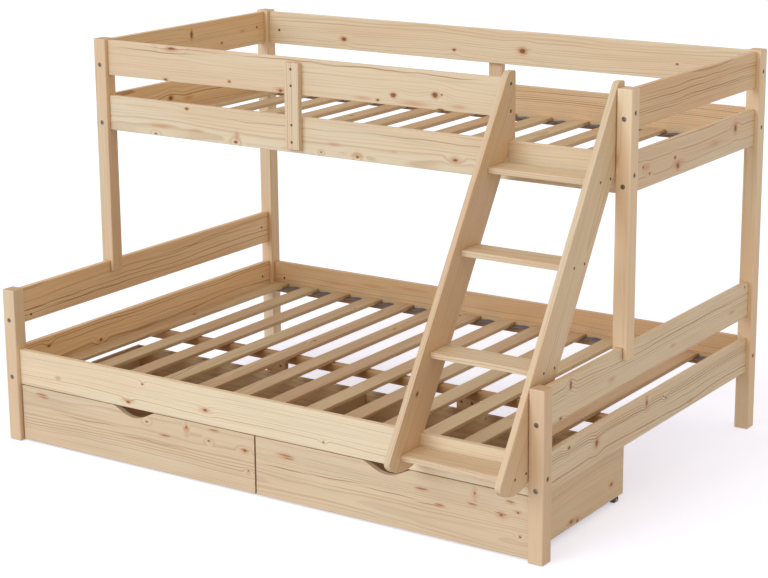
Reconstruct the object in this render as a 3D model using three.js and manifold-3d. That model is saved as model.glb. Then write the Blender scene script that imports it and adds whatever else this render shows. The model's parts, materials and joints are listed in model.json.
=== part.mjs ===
// A bunk bed of solid pine: a wide lower bed with two drawers on castors under it,
// a narrower upper bed that stands on the lower one, and a slanting ladder.
// Millimetres, +Z up, +X along the bed, the ladder and drawers on the -Y side.
// While the pieces are made, y = 0 is the front face of the lower front posts and
// z = 0 is the floor. The finished bed is then centred over the origin.

import * as THREE from 'three';
import { mergeVertices } from 'three/addons/utils/BufferGeometryUtils.js';
import Module from 'manifold-3d';

const wasm = await Module();
wasm.setup();

// Mattresses, which set the length and both widths of the bed
const mattressLength = 2000;
const lowerMattressWidth = 1400;
const upperMattressWidth = 900;
const mattressPlay = 4;

// Timber sections
const postSize = 50;
const boardThickness = 20;
const boardHeight = 120;
const postAboveBoard = 5;

// Lower bed heights, from the floor up
const lowerRailBottom = 200;
const lowerEndBoardLift = 4;
const lowerEndGap = 77;

// Upper bed heights
const upperRailBottom = 990;
const guardGap = 72;
const forkDepth = 38;
const forkPlay = 1;

// Bolts and their barrel nuts
const boltHoleRadius = 6;
const boltHoleDepth = 5;
const nutHoleRadius = 5;
const nutHoleDepth = 12;
const nutHoleInset = 45;
const railBoltHeight = 58;
const guardBoltHeight = 52;
const lowerEndBoltHeight = 20;
const upperEndBoltHeight = 25;
const topEndBoltHeight = 35;
const backEndBoltHeight = 65;

// Slats, the cleats that carry them and the beam in the middle of the lower bed
const slatCount = 14;
const slatWidth = 65;
const slatThickness = 15;
const slatEndPlay = 2;
const firstSlatGap = 16;
const strapWidth = 25;
const strapThickness = 2;
const strapInset = 2;
const cleatWidth = 20;
const cleatEndGap = 8;
const lowerCleatHeight = 20;
const lowerCleatLift = 5;
const upperCleatHeight = 10;
const upperCleatDrop = 5;
const beamSize = 30;
const beamPlaceShare = 0.468;
const beamLegWidth = 80;
const beamLegThickness = 20;
const beamLegShares = [-0.424, 0.357];

// Uprights that tie each long guard to its rail
const supportWidth = 56;
const supportThickness = 20;
const supportMargin = 13;
const frontSupportShare = -0.19;
const backSupportShare = 0.005;

// Ladder: two slanting stiles, notched over both front rails, and four treads
const ladderWidth = 350;
const ladderPostGap = 2;
const stileThickness = 20;
const stileWidth = 133;
const stileTopWidth = 41;
const stileOverhang = 19;
const stileFoot = 229;
const stileFootRise = 50;
const stileToeRise = 21;
const stileToeShare = 0.72;
const stileTopRadius = 11;
const treadThickness = 18;
const treadDepth = 100;
const lowestTreadHeight = 284;
const lowestTreadRailGap = 7;
const treadRise = 271;
const middleTreadCount = 2;
const middleTreadSetbackShare = 0.25;
const topTreadDrop = 60;
const topTreadRailGap = 25;

// Drawers
const drawerFloorGap = 5;
const drawerTopGap = 3;
const drawerPostGap = 4.5;
const drawerMiddleGap = 6;
const drawerBeamGap = 84;
const drawerFrontThickness = 20;
const drawerSideThickness = 15;
const drawerSideInset = 2.5;
const drawerSideLift = 13;
const drawerSideDrop = 7;
const drawerBottomThickness = 6;
const drawerBottomGap = 6;
const fingerWidth = 178;
const fingerDepth = 30;
const fingerEndShare = 0.22;
const fingerEndDepthShare = 0.55;

// Castor wheels, each on a short axle that reaches the drawer side
const wheelRadius = 20;
const wheelWidth = 16;
const wheelSideGap = 3;
const wheelEndInset = 42;
const hubRadius = 8;
const hubDepth = 2;
const tyreRounding = 2;
const axleRadius = 4;
const seatGap = 0.3;

// Modelling values
const overrun = 10;
const holeSegments = 16;
const wheelSegments = 24;
const curveSteps = 10;

// Places worked out from the sizes above
const reveal = (postSize - boardThickness) / 2;
const innerLength = mattressLength + mattressPlay;
const endInside = innerLength / 2;
const endOutside = endInside + boardThickness;
const postOutside = endOutside + reveal;
const postInside = postOutside - postSize;
const frontRailFace = reveal;
const frontRailInside = frontRailFace + boardThickness;
const backRailInside = frontRailInside + lowerMattressWidth + mattressPlay;
const backRailFace = backRailInside + boardThickness;
const postBackFace = backRailFace + reveal;
const upperRailInside = backRailInside - upperMattressWidth - mattressPlay;
const upperRailFace = upperRailInside - boardThickness;
const upperPostFace = upperRailFace - reveal;

const lowerRailTop = lowerRailBottom + boardHeight;
const lowerEndBottom = lowerRailBottom + lowerEndBoardLift;
const lowerEndUpper = lowerEndBottom + boardHeight + lowerEndGap;
const lowerEndTop = lowerEndUpper + boardHeight;
const lowerPostTop = lowerEndTop + postAboveBoard;
const upperRailTop = upperRailBottom + boardHeight;
const guardBottom = upperRailTop + guardGap;
const guardTop = guardBottom + boardHeight;
const upperPostTop = guardTop + postAboveBoard;

const lowerCleatTop = lowerRailBottom + lowerCleatLift + lowerCleatHeight;
const upperCleatTop = upperRailBottom - upperCleatDrop + upperCleatHeight;
const beamBottom = lowerCleatTop - beamSize;
const beamFace = frontRailInside + beamPlaceShare * (backRailInside - frontRailInside);

// Materials, by the colour and gloss of the real surfaces
const pine = () => new THREE.MeshStandardMaterial({ color: 0xdcc09a, roughness: 0.62, metalness: 0 });
const darkPine = () => new THREE.MeshStandardMaterial({ color: 0xb99268, roughness: 0.66, metalness: 0 });
const slatWood = () => new THREE.MeshStandardMaterial({ color: 0xc2a17a, roughness: 0.7, metalness: 0 });
const castorGrey = () => new THREE.MeshStandardMaterial({ color: 0x4a464a, roughness: 0.45, metalness: 0 });

const bed = new THREE.Group();

// Adds one named piece to the bed
function add(name, geometry, material) {
  const mesh = new THREE.Mesh(geometry, material);
  mesh.name = name;
  bed.add(mesh);
  return mesh;
}

// A box between two corners, given as [low, high] for each axis
function block(x, y, z) {
  const box = new THREE.BoxGeometry(x[1] - x[0], y[1] - y[0], z[1] - z[0]);
  return box.translate((x[0] + x[1]) / 2, (y[0] + y[1]) / 2, (z[0] + z[1]) / 2);
}

// A cylinder about an axis, from one place on that axis to another
function rod(axis, from, to, centre, radius) {
  const length = Math.abs(to - from);
  const cylinder = new THREE.CylinderGeometry(radius, radius, length, holeSegments);
  if (axis === 'x') {
    cylinder.rotateZ(Math.PI / 2);
    return cylinder.translate((from + to) / 2, centre[0], centre[1]);
  }
  return cylinder.translate(centre[0], (from + to) / 2, centre[1]);
}

// An outline drawn in the Y-Z plane and given a thickness along X
function plateAlongX(outline, x) {
  const plate = new THREE.ExtrudeGeometry(outline, {
    depth: x[1] - x[0],
    bevelEnabled: false,
    curveSegments: curveSteps,
  });
  // the outline's own x and y become Y and Z, and its depth becomes X
  plate.applyMatrix4(new THREE.Matrix4().makeBasis(
    new THREE.Vector3(0, 1, 0),
    new THREE.Vector3(0, 0, 1),
    new THREE.Vector3(1, 0, 0),
  ));
  return plate.translate(x[0], 0, 0);
}

// An outline drawn in the X-Z plane and given a thickness along Y
function plateAlongY(outline, y) {
  const plate = new THREE.ExtrudeGeometry(outline, {
    depth: y[1] - y[0],
    bevelEnabled: false,
    curveSegments: curveSteps,
  });
  plate.rotateX(Math.PI / 2);
  return plate.translate(0, y[1], 0);
}

// Closed solids for cutting and joining
function solid(geometry) {
  const bare = geometry.clone();
  bare.deleteAttribute('normal');
  bare.deleteAttribute('uv');
  const merged = mergeVertices(bare);
  return new wasm.Manifold(new wasm.Mesh({
    numProp: 3,
    vertProperties: new Float32Array(merged.attributes.position.array),
    triVerts: new Uint32Array(merged.index.array),
  }));
}

function toGeometry(body) {
  const mesh = body.getMesh();
  const geometry = new THREE.BufferGeometry();
  geometry.setAttribute('position', new THREE.BufferAttribute(mesh.vertProperties, 3));
  geometry.setIndex(new THREE.BufferAttribute(mesh.triVerts, 1));
  geometry.computeVertexNormals();
  return geometry;
}

function cut(geometry, tools) {
  let body = solid(geometry);
  for (const tool of tools) {
    body = body.subtract(solid(tool));
  }
  return toGeometry(body);
}

function join(pieces) {
  let body = solid(pieces[0]);
  for (const piece of pieces.slice(1)) {
    body = body.add(solid(piece));
  }
  return toGeometry(body);
}

// The two sides of the bed: side -1 is the left end, side +1 the right end
const sides = [
  { side: -1, word: 'left' },
  { side: 1, word: 'right' },
];

// A span across the left or right end, given its inner and outer distance from the middle
function endSpan(side, inside, outside) {
  return side < 0 ? [-outside, -inside] : [inside, outside];
}

// Bolts run through the posts: those in a front or back face hold the end boards,
// those in an end face hold the long rails and guards. Heights are above the floor.
const railBolts = {
  lower: lowerRailBottom + railBoltHeight,
  upper: upperRailBottom + railBoltHeight,
  guard: guardBottom + guardBoltHeight,
};
const frontEndBolts = {
  lower: lowerEndBottom + lowerEndBoltHeight,
  lowerTop: lowerEndUpper + lowerEndBoltHeight,
  upper: upperRailBottom + upperEndBoltHeight,
  upperTop: guardBottom + topEndBoltHeight,
};
const backEndBolts = {
  lower: lowerEndBottom + backEndBoltHeight,
  lowerTop: lowerEndUpper + backEndBoltHeight,
  upper: upperRailBottom + backEndBoltHeight,
  upperTop: guardBottom + backEndBoltHeight,
};

// A shallow round seat for a bolt head in a post's front, back or end face
const endBoardMiddle = (endInside + endOutside) / 2;

function frontBoltSeat(side, face, height) {
  return rod('y', face - overrun, face + boltHoleDepth,
    [side * endBoardMiddle, height], boltHoleRadius);
}

function backBoltSeat(side, height) {
  return rod('y', postBackFace - boltHoleDepth, postBackFace + overrun,
    [side * endBoardMiddle, height], boltHoleRadius);
}

function endBoltSeat(side, y, height) {
  const from = side * (postOutside - boltHoleDepth);
  const to = side * (postOutside + overrun);
  return rod('x', from, to, [y, height], boltHoleRadius);
}

// Posts
for (const { side, word } of sides) {
  const x = endSpan(side, postInside, postOutside);
  const frontMiddle = frontRailFace + boardThickness / 2;
  const upperMiddle = upperRailFace + boardThickness / 2;
  const backMiddle = backRailInside + boardThickness / 2;

  const lowerFront = block(x, [0, postSize], [0, lowerPostTop]);
  add(`post_front_${word}`, cut(lowerFront, [
    frontBoltSeat(side, 0, frontEndBolts.lower),
    frontBoltSeat(side, 0, frontEndBolts.lowerTop),
    endBoltSeat(side, frontMiddle, railBolts.lower),
  ]), pine());

  const back = block(x, [postBackFace - postSize, postBackFace], [0, upperPostTop]);
  add(`post_back_${word}`, cut(back, [
    ...Object.values(railBolts).map((z) => endBoltSeat(side, backMiddle, z)),
    ...Object.values(backEndBolts).map((z) => backBoltSeat(side, z)),
  ]), pine());

  // The upper front post straddles the lower bed's top end board with a forked foot
  const upperFront = block(x, [upperPostFace, upperPostFace + postSize],
    [lowerEndTop - forkDepth, upperPostTop]);
  const slot = block(endSpan(side, endInside - forkPlay, endOutside + forkPlay),
    [upperPostFace - overrun, upperPostFace + postSize + overrun],
    [lowerEndTop - forkDepth - overrun, lowerEndTop]);
  add(`post_upper_${word}`, cut(upperFront, [
    slot,
    frontBoltSeat(side, upperPostFace, frontEndBolts.upper),
    frontBoltSeat(side, upperPostFace, frontEndBolts.upperTop),
    endBoltSeat(side, upperMiddle, railBolts.upper),
    endBoltSeat(side, upperMiddle, railBolts.guard),
  ]), pine());
}

// A long rail or guard: a board on edge, with a barrel nut hole at each end that is bolted.
// The holes open towards the mattress: nutSide is +1 at the front and -1 at the back.
function longBoard(x, face, bottom, boltHeight, nutSide, boltedEnds) {
  const board = block(x, [face, face + boardThickness], [bottom, bottom + boardHeight]);
  const inside = nutSide > 0 ? face + boardThickness : face;
  const nuts = boltedEnds.map((end) => {
    const place = end < 0 ? x[0] + nutHoleInset : x[1] - nutHoleInset;
    return rod('y', inside - nutSide * nutHoleDepth, inside + nutSide * overrun,
      [place, boltHeight], nutHoleRadius);
  });
  return cut(board, nuts);
}

// A board across one end of the bed, between a front and a back post
function endBoard(side, front, bottom, frontBolt, backBolt) {
  const back = postBackFace - postSize;
  const board = block(endSpan(side, endInside, endOutside), [front, back],
    [bottom, bottom + boardHeight]);
  const nutFrom = side * (endInside - overrun);
  const nutTo = side * (endInside + nutHoleDepth);
  return cut(board, [
    rod('x', nutFrom, nutTo, [front + nutHoleInset, frontBolt], nutHoleRadius),
    rod('x', nutFrom, nutTo, [back - nutHoleInset, backBolt], nutHoleRadius),
  ]);
}

const railSpan = [-postInside, postInside];
const bothEnds = [-1, 1];

// Lower bed frame
add('lower_front_rail', longBoard(railSpan, frontRailFace, lowerRailBottom,
  railBolts.lower, 1, bothEnds), pine());
add('lower_back_rail', longBoard(railSpan, backRailInside, lowerRailBottom,
  railBolts.lower, -1, bothEnds), pine());
for (const { side, word } of sides) {
  add(`lower_end_board_${word}`, endBoard(side, postSize, lowerEndBottom,
    frontEndBolts.lower, backEndBolts.lower), pine());
  add(`lower_end_top_board_${word}`, endBoard(side, postSize, lowerEndUpper,
    frontEndBolts.lowerTop, backEndBolts.lowerTop), pine());
}

// Upper bed frame. The front guard stops at the ladder, which it is screwed to.
const leftStileOutside = postInside - ladderPostGap - ladderWidth - 2 * stileThickness;
const guardSpan = [-postInside, leftStileOutside];
add('upper_front_rail', longBoard(railSpan, upperRailFace, upperRailBottom,
  railBolts.upper, 1, bothEnds), pine());
add('upper_back_rail', longBoard(railSpan, backRailInside, upperRailBottom,
  railBolts.upper, -1, bothEnds), pine());
add('guard_front', longBoard(guardSpan, upperRailFace, guardBottom,
  railBolts.guard, 1, [-1]), pine());
add('guard_back', longBoard(railSpan, backRailInside, guardBottom,
  railBolts.guard, -1, bothEnds), pine());
for (const { side, word } of sides) {
  const front = upperPostFace + postSize;
  add(`upper_end_board_${word}`, endBoard(side, front, upperRailBottom,
    frontEndBolts.upper, backEndBolts.upper), pine());
  add(`upper_end_top_board_${word}`, endBoard(side, front, guardBottom,
    frontEndBolts.upperTop, backEndBolts.upperTop), pine());
}

// Uprights on the outer faces of guard and rail
const supportHeight = [upperRailBottom + supportMargin, guardTop - supportMargin];
function supportSpan(placeShare) {
  const middle = placeShare * endInside;
  return [middle - supportWidth / 2, middle + supportWidth / 2];
}
add('guard_support_front', block(supportSpan(frontSupportShare),
  [upperRailFace - supportThickness, upperRailFace], supportHeight), pine());
add('guard_support_back', block(supportSpan(backSupportShare),
  [backRailFace, backRailFace + supportThickness], supportHeight), pine());

// Cleats along the inner faces of the rails
const cleatSpan = [-postInside + cleatEndGap, postInside - cleatEndGap];
function addCleats(level, frontInside, top, height) {
  add(`${level}_cleat_front`, block(cleatSpan, [frontInside, frontInside + cleatWidth],
    [top - height, top]), darkPine());
  add(`${level}_cleat_back`, block(cleatSpan, [backRailInside - cleatWidth, backRailInside],
    [top - height, top]), darkPine());
}
addCleats('lower', frontRailInside, lowerCleatTop, lowerCleatHeight);
addCleats('upper', upperRailInside, upperCleatTop, upperCleatHeight);

// Beam under the lower slats, on two legs
add('centre_beam', block([-endInside, endInside], [beamFace, beamFace + beamSize],
  [beamBottom, lowerCleatTop]), darkPine());
for (const [index, { word }] of sides.entries()) {
  const middle = beamLegShares[index] * endInside;
  add(`beam_leg_${word}`, block([middle - beamLegWidth / 2, middle + beamLegWidth / 2],
    [beamFace, beamFace + beamLegThickness], [0, beamBottom]), darkPine());
}

// Slats joined into a roll by two straps, one under each row of slat ends
function slatRoll(frontInside, bottom) {
  const front = frontInside + slatEndPlay;
  const back = backRailInside - slatEndPlay;
  const first = -endInside + firstSlatGap;
  const pitch = (innerLength - 2 * firstSlatGap - slatWidth) / (slatCount - 1);
  const pieces = [];
  for (let i = 0; i < slatCount; i += 1) {
    const left = first + i * pitch;
    pieces.push(block([left, left + slatWidth], [front, back], [bottom, bottom + slatThickness]));
  }
  const strapSpan = [first + slatWidth / 2, -first - slatWidth / 2];
  const strapTop = bottom + strapThickness;
  const strapOut = strapInset + strapWidth;
  pieces.push(block(strapSpan, [front + strapInset, front + strapOut], [bottom, strapTop]));
  pieces.push(block(strapSpan, [back - strapOut, back - strapInset], [bottom, strapTop]));
  return join(pieces);
}
add('lower_slat_roll', slatRoll(frontRailInside, lowerCleatTop), slatWood());
add('upper_slat_roll', slatRoll(upperRailInside, upperCleatTop), slatWood());

// Ladder stile seen from the side, in Y and Z. Its back edge leans through the inner top
// corners of both front rails, and a notch at each rail leaves it a shoulder to hang on.
const leanRun = upperRailFace - frontRailFace;
const leanRise = upperRailTop - lowerRailTop;
const lean = leanRun / leanRise;
const levelWidth = stileWidth * Math.hypot(1, lean);

function stileBack(z) {
  return frontRailInside + (z - lowerRailTop) * lean;
}
function stileFront(z) {
  return stileBack(z) - levelWidth;
}

// The stile's upright back edge hangs over the upper rail's inside. Its top is as high as
// leaves it the chosen width there, in front of that edge.
const stileRear = upperRailInside + stileOverhang;
const stileTop = lowerRailTop
  + (stileRear - stileTopWidth + levelWidth - frontRailInside) / lean;

function stileOutline() {
  const toeY = stileFront(stileFoot) + levelWidth * stileToeShare;
  const kneeZ = stileFoot + stileFootRise;
  const upperTouch = lowerRailTop + (upperRailFace - frontRailInside) / lean;
  const topRadius = Math.min(stileTopRadius, stileTopWidth / 3);
  const outline = new THREE.Shape();
  outline.moveTo(frontRailFace, stileFoot + stileToeRise);
  outline.lineTo(frontRailFace, lowerRailTop);
  outline.lineTo(frontRailInside, lowerRailTop);
  outline.lineTo(upperRailFace, upperTouch);
  outline.lineTo(upperRailFace, upperRailTop);
  outline.lineTo(stileRear, upperRailTop);
  outline.lineTo(stileRear, stileTop - topRadius);
  outline.quadraticCurveTo(stileRear, stileTop, stileRear - topRadius, stileTop);
  outline.lineTo(stileFront(stileTop) + topRadius, stileTop);
  outline.quadraticCurveTo(stileFront(stileTop), stileTop,
    stileFront(stileTop - topRadius), stileTop - topRadius);
  outline.lineTo(stileFront(kneeZ), kneeZ);
  outline.bezierCurveTo(stileFront(kneeZ - stileToeRise), kneeZ - stileToeRise,
    (stileFront(stileFoot) + toeY) / 2, stileFoot, toeY, stileFoot);
  outline.bezierCurveTo((toeY + frontRailFace) / 2, stileFoot,
    frontRailFace - stileToeRise, stileFoot + stileToeRise / 2,
    frontRailFace, stileFoot + stileToeRise);
  return outline;
}

const rightStile = [postInside - ladderPostGap - stileThickness, postInside - ladderPostGap];
const leftStile = [leftStileOutside, leftStileOutside + stileThickness];
add('ladder_stile_left', plateAlongX(stileOutline(), leftStile), pine());
add('ladder_stile_right', plateAlongX(stileOutline(), rightStile), pine());

// Treads, counted from the lowest, each by the height of its top and its front edge
const treads = [
  { height: lowestTreadHeight, front: frontRailFace - lowestTreadRailGap - treadDepth },
];
for (let i = 1; i <= middleTreadCount; i += 1) {
  const height = lowestTreadHeight + i * treadRise;
  treads.push({ height, front: stileFront(height) + middleTreadSetbackShare * levelWidth });
}
treads.push({
  height: upperRailTop - topTreadDrop,
  front: upperRailFace - topTreadRailGap - treadDepth,
});
for (const [index, { height, front }] of treads.entries()) {
  add(`ladder_tread_${index + 1}`, block([leftStile[1], rightStile[0]],
    [front, front + treadDepth], [height - treadThickness, height]), pine());
}

// Drawers. The left drawer is the right one mirrored, apart from its castors' names.
const drawerHeight = [drawerFloorGap, lowerRailBottom - drawerTopGap];
const drawerFrontInside = frontRailFace + drawerFrontThickness;
const drawerEnd = beamFace - drawerBeamGap;
const drawerSideHeight = [drawerFloorGap + drawerSideLift, drawerHeight[1] - drawerSideDrop];
const drawerPanelBottom = 2 * wheelRadius + drawerBottomGap;

function drawerFrontOutline(x) {
  const top = drawerHeight[1];
  const middle = (x[0] + x[1]) / 2;
  const half = fingerWidth / 2;
  const shoulder = half - fingerWidth * fingerEndShare;
  const shoulderTop = top - fingerDepth * fingerEndDepthShare;
  const outline = new THREE.Shape();
  outline.moveTo(x[0], drawerHeight[0]);
  outline.lineTo(x[1], drawerHeight[0]);
  outline.lineTo(x[1], top);
  outline.lineTo(middle + half, top);
  outline.quadraticCurveTo(middle + half - (top - shoulderTop) / 2, top,
    middle + shoulder, shoulderTop);
  outline.quadraticCurveTo(middle + shoulder / 2, top - fingerDepth,
    middle, top - fingerDepth);
  outline.quadraticCurveTo(middle - shoulder / 2, top - fingerDepth,
    middle - shoulder, shoulderTop);
  outline.quadraticCurveTo(middle - half + (top - shoulderTop) / 2, top,
    middle - half, top);
  outline.lineTo(x[0], top);
  return outline;
}

// A castor wheel about the X axis: hub, rounded tread and the axle towards the drawer side
function castorWheel(outward) {
  const half = wheelWidth / 2;
  const axleEnd = half + wheelSideGap - seatGap;
  const profile = new THREE.Path();
  profile.moveTo(0, -half - hubDepth);
  profile.lineTo(hubRadius, -half - hubDepth);
  profile.lineTo(hubRadius, -half);
  profile.lineTo(wheelRadius - tyreRounding, -half);
  profile.lineTo(wheelRadius, -half + tyreRounding);
  profile.lineTo(wheelRadius, half - tyreRounding);
  profile.lineTo(wheelRadius - tyreRounding, half);
  profile.lineTo(axleRadius, half);
  profile.lineTo(axleRadius, axleEnd);
  profile.lineTo(0, axleEnd);
  const wheel = new THREE.LatheGeometry(profile.getPoints(), wheelSegments);
  // the profile's axis runs along Y, and is laid along X with its axle outward
  return wheel.rotateZ(outward < 0 ? Math.PI / 2 : -Math.PI / 2);
}

for (const { side, word } of sides) {
  const name = `drawer_${word}`;
  const frontSpan = endSpan(side, drawerMiddleGap / 2, postInside - drawerPostGap);
  const box = [frontSpan[0] + drawerSideInset, frontSpan[1] - drawerSideInset];
  const inner = [box[0] + drawerSideThickness, box[1] - drawerSideThickness];
  const depth = [drawerFrontInside, drawerEnd];
  const boxBack = [drawerEnd - drawerSideThickness, drawerEnd];

  add(`${name}_front`, plateAlongY(drawerFrontOutline(frontSpan),
    [frontRailFace, drawerFrontInside]), pine());
  add(`${name}_side_left`, block([box[0], inner[0]], depth, drawerSideHeight), pine());
  add(`${name}_side_right`, block([inner[1], box[1]], depth, drawerSideHeight), pine());
  add(`${name}_back`, block(inner, boxBack, drawerSideHeight), pine());
  add(`${name}_bottom`, block(inner, [drawerFrontInside, boxBack[0]],
    [drawerPanelBottom, drawerPanelBottom + drawerBottomThickness]), darkPine());

  const wheelPlaces = [
    { end: 'front', y: drawerFrontInside + wheelEndInset },
    { end: 'back', y: drawerEnd - wheelEndInset },
  ];
  const wheelOffset = wheelSideGap + wheelWidth / 2;
  const wheelSides = [
    { outward: -1, hand: 'left', x: inner[0] + wheelOffset },
    { outward: 1, hand: 'right', x: inner[1] - wheelOffset },
  ];
  for (const { end, y } of wheelPlaces) {
    for (const { outward, hand, x } of wheelSides) {
      const wheel = add(`${name}_wheel_${end}_${hand}`, castorWheel(outward), castorGrey());
      wheel.position.set(x, y, wheelRadius);
    }
  }
}

// The whole bed is centred over the origin, with its feet on z = 0
const extent = new THREE.Box3().setFromObject(bed);
bed.position.y = -(extent.min.y + extent.max.y) / 2;

export default bed;
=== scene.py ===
"""A pine bunk bed with a leaning ladder and two rolling drawers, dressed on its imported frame.

All lengths are in metres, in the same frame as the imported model: X along the bed's length,
Y from its front to its back, Z up from the floor.
"""

import json
import math
import random
from collections import namedtuple

import bmesh
import bpy
from bpy.props import FloatProperty, FloatVectorProperty, IntProperty, PointerProperty
from mathutils import Matrix, Vector


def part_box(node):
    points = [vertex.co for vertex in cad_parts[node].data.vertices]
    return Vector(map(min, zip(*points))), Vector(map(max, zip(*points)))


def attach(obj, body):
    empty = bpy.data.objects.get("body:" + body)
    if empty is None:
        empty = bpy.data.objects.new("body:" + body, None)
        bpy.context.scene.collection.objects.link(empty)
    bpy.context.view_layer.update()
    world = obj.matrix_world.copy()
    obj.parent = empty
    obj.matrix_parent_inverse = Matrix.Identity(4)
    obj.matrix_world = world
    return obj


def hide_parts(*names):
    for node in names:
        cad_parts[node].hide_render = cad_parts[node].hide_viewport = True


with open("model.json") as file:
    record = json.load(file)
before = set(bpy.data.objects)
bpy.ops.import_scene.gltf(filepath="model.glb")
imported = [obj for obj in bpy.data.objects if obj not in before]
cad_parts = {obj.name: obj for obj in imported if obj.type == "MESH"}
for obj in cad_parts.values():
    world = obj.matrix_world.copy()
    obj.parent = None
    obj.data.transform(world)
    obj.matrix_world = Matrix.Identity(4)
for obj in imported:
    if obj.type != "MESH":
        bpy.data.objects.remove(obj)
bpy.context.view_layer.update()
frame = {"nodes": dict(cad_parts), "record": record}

bl_info = {
    "name": "Pine Bunk Bed",
    "version": (1, 0, 0),
    "blender": (4, 5, 0),
    "location": "3D View > Sidebar > Bunk Bed",
    "description": "Builds a pine bunk bed with a leaning ladder and two rolling drawers",
    "category": "Add Mesh",
}

MM = 0.001
SLOTS = {part["node"]: part["material_slot"] for part in frame["record"]["subparts"]}
BODIES = {
    node: body
    for body, nodes in frame["record"]["behaviour"]["bodies"].items()
    for node in nodes
}

X, Y, Z = Vector((1, 0, 0)), Vector((0, 1, 0)), Vector((0, 0, 1))
LEFT, RIGHT = -1, 1
SIDES = ((LEFT, "left"), (RIGHT, "right"))
HIGHEST_BYTE = 255

# A distance, in a mark's own half widths, at which the mark can't be seen
FAR_FROM_MARKS = 100.0

# Heights over the floor, in millimetres, of the bolts in each kind of post and of the screws
FRONT_POST_BOLTS = (224, 421)
UPPER_POST_BOLTS = (1015, 1217)
BACK_POST_BOLTS = (269, 466, 1055, 1247)
LOWER_RAIL_BOLT = 258
UPPER_RAIL_BOLT = 1048
GUARD_BOLT = 1234
GUARD_END_SCREWS = (1201, 1285)
UPRIGHT_SCREWS = (1268, 1214, 1085, 1028)

# Where screws sit, as shares of a tread's depth and of a beam leg's width
TREAD_SCREW_SHARES = (0.22, 0.84)
LEG_SCREW_SHARES = (0.25, 0.75)

# Radius of a bolt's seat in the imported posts, and a depth just under the seat's floor
PACKED_SEAT_RADIUS = 6 * MM
UNDER_SEAT = 6 * MM


def paint(red, green, blue):
    """The linear colour of three display values from 0 to 255."""
    return tuple(((c / HIGHEST_BYTE + 0.055) / 1.055) ** 2.4 for c in (red, green, blue))


def colour_property(name, description, display):
    """A colour that the panel shows, with its default in display values."""
    return FloatVectorProperty(
        name=name, description=description, default=paint(*display),
        subtype="COLOR", size=3, min=0.0, max=1.0,
    )


def length_property(name, description, millimetres):
    """A length that the panel shows, with its default in millimetres."""
    return FloatProperty(
        name=name, description=description, default=millimetres * MM,
        unit="LENGTH", min=0.0,
    )


# Settings


class WoodSettings(bpy.types.PropertyGroup):
    """Colours and figure of the pine."""

    pale: colour_property("Pale wood", "Early wood of the pine", (233, 214, 179))
    rosy: colour_property("Rosy wood", "Zones where the pine turns pinkish", (231, 203, 165))
    post_pale: colour_property("Pale post", "Early wood of posts and stiles", (228, 205, 168))
    post_rosy: colour_property("Rosy post", "Pinkish zones of posts and stiles", (227, 195, 156))
    amber_pale: colour_property("Pale amber", "Early wood of the browner boards", (226, 195, 149))
    amber_rosy: colour_property("Rosy amber", "Darker zones of those boards", (221, 179, 130))
    # Painted light: the inner boards' pine is painted brighter and warmer for the light that their
    # faces miss
    inner_lit_pale: colour_property("Pale warm", "Early wood of the inner boards", (240, 212, 170))
    inner_lit_rosy: colour_property("Rosy warm", "Darker zones of the inner boards", (238, 203, 157))
    line: colour_property("Ring lines", "Late wood between two rings", (176, 130, 82))
    knot: colour_property("Knot", "Heart of a knot", (90, 46, 25))
    halo: colour_property("Knot halo", "Resin-stained wood round a knot", (204, 144, 92))
    rough_pale: colour_property("Unlacquered wood", "Wood of the hidden parts", (196, 158, 112))
    rough_rosy: colour_property("Unlacquered rosy", "Darker zones of hidden parts", (178, 134, 92))
    slat_pale: colour_property("Slat wood", "Wood of the slats", (216, 194, 155))
    slat_rosy: colour_property("Slat rosy", "Pinkish slats and zones", (208, 176, 140))
    ring_spacing: length_property("Ring spacing", "Mean width of a growth ring", 5.5)
    edge_round: length_property("Edge round", "Rounding of the boards' edges", 1.8)
    post_round: length_property("Post round", "Rounding of the posts' edges", 3.5)
    front_round: length_property("Front round", "Rounding of the drawers and lower rails", 1.0)
    slat_round: length_property("Slat round", "Rounding of the slats' edges", 2.5)
    slat_width: length_property("Slat width", "Width of a slat", 65.0)
    slat_count: IntProperty(name="Slats", description="Slats on each bed", default=14, min=2)


class HardwareSettings(bpy.types.PropertyGroup):
    """Sizes and colours of bolts, nuts, screws, straps and castors."""

    bolt_radius: length_property("Bolt head", "Radius of a bolt's head", 7.2)
    seat_radius: length_property("Bolt seat", "Radius of the seat round a bolt's head", 8.0)
    bolt_sink: length_property("Bolt sink", "How far a head lies under the post's face", 0.9)
    nut_radius: length_property("Barrel nut", "Radius of a barrel nut", 4.7)
    nut_sink: length_property("Nut sink", "How far a nut lies under the board's face", 4.5)
    screw_radius: length_property("Screw head", "Radius of a screw's head", 4.4)
    strap_thick: length_property("Strap thickness", "Thickness of the straps under the slats", 1.5)
    strap_wide: length_property("Strap width", "Width of the straps under the slats", 38.0)
    steel: colour_property("Steel", "Zinc plated steel", (138, 131, 121))
    rivet_steel: colour_property("Rivet", "Bright steel of the castors' rivets", (214, 210, 204))
    # The barrel nuts take this near-black colour too, as painted shade in their holes
    screw_steel: colour_property("Screw steel", "Darkened steel of the screws", (34, 28, 24))
    plastic: colour_property("Castor plastic", "Moulded castor housing and wheel", (84, 80, 88))
    strap: colour_property("Strap", "Woven strap between the slats", (114, 112, 121))


class StageSettings(bpy.types.PropertyGroup):
    """Camera, lamps and floor."""

    lens: FloatProperty(name="Lens", description="Focal length in millimetres", default=94.4)
    key_power: FloatProperty(name="Key", description="Strength of the soft sun lamp", default=1.55)
    key_colour: colour_property("Key colour", "Colour of the sun lamp", (212, 231, 255))
    sky: FloatProperty(name="Sky", description="Level of the soft light all round", default=0.65)
    sky_colour: colour_property("Sky colour", "Colour of the soft light", (255, 239, 219))
    floor_glow: FloatProperty(
        name="Floor glow", description="Light that the floor adds for the camera", default=0.545
    )


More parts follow.
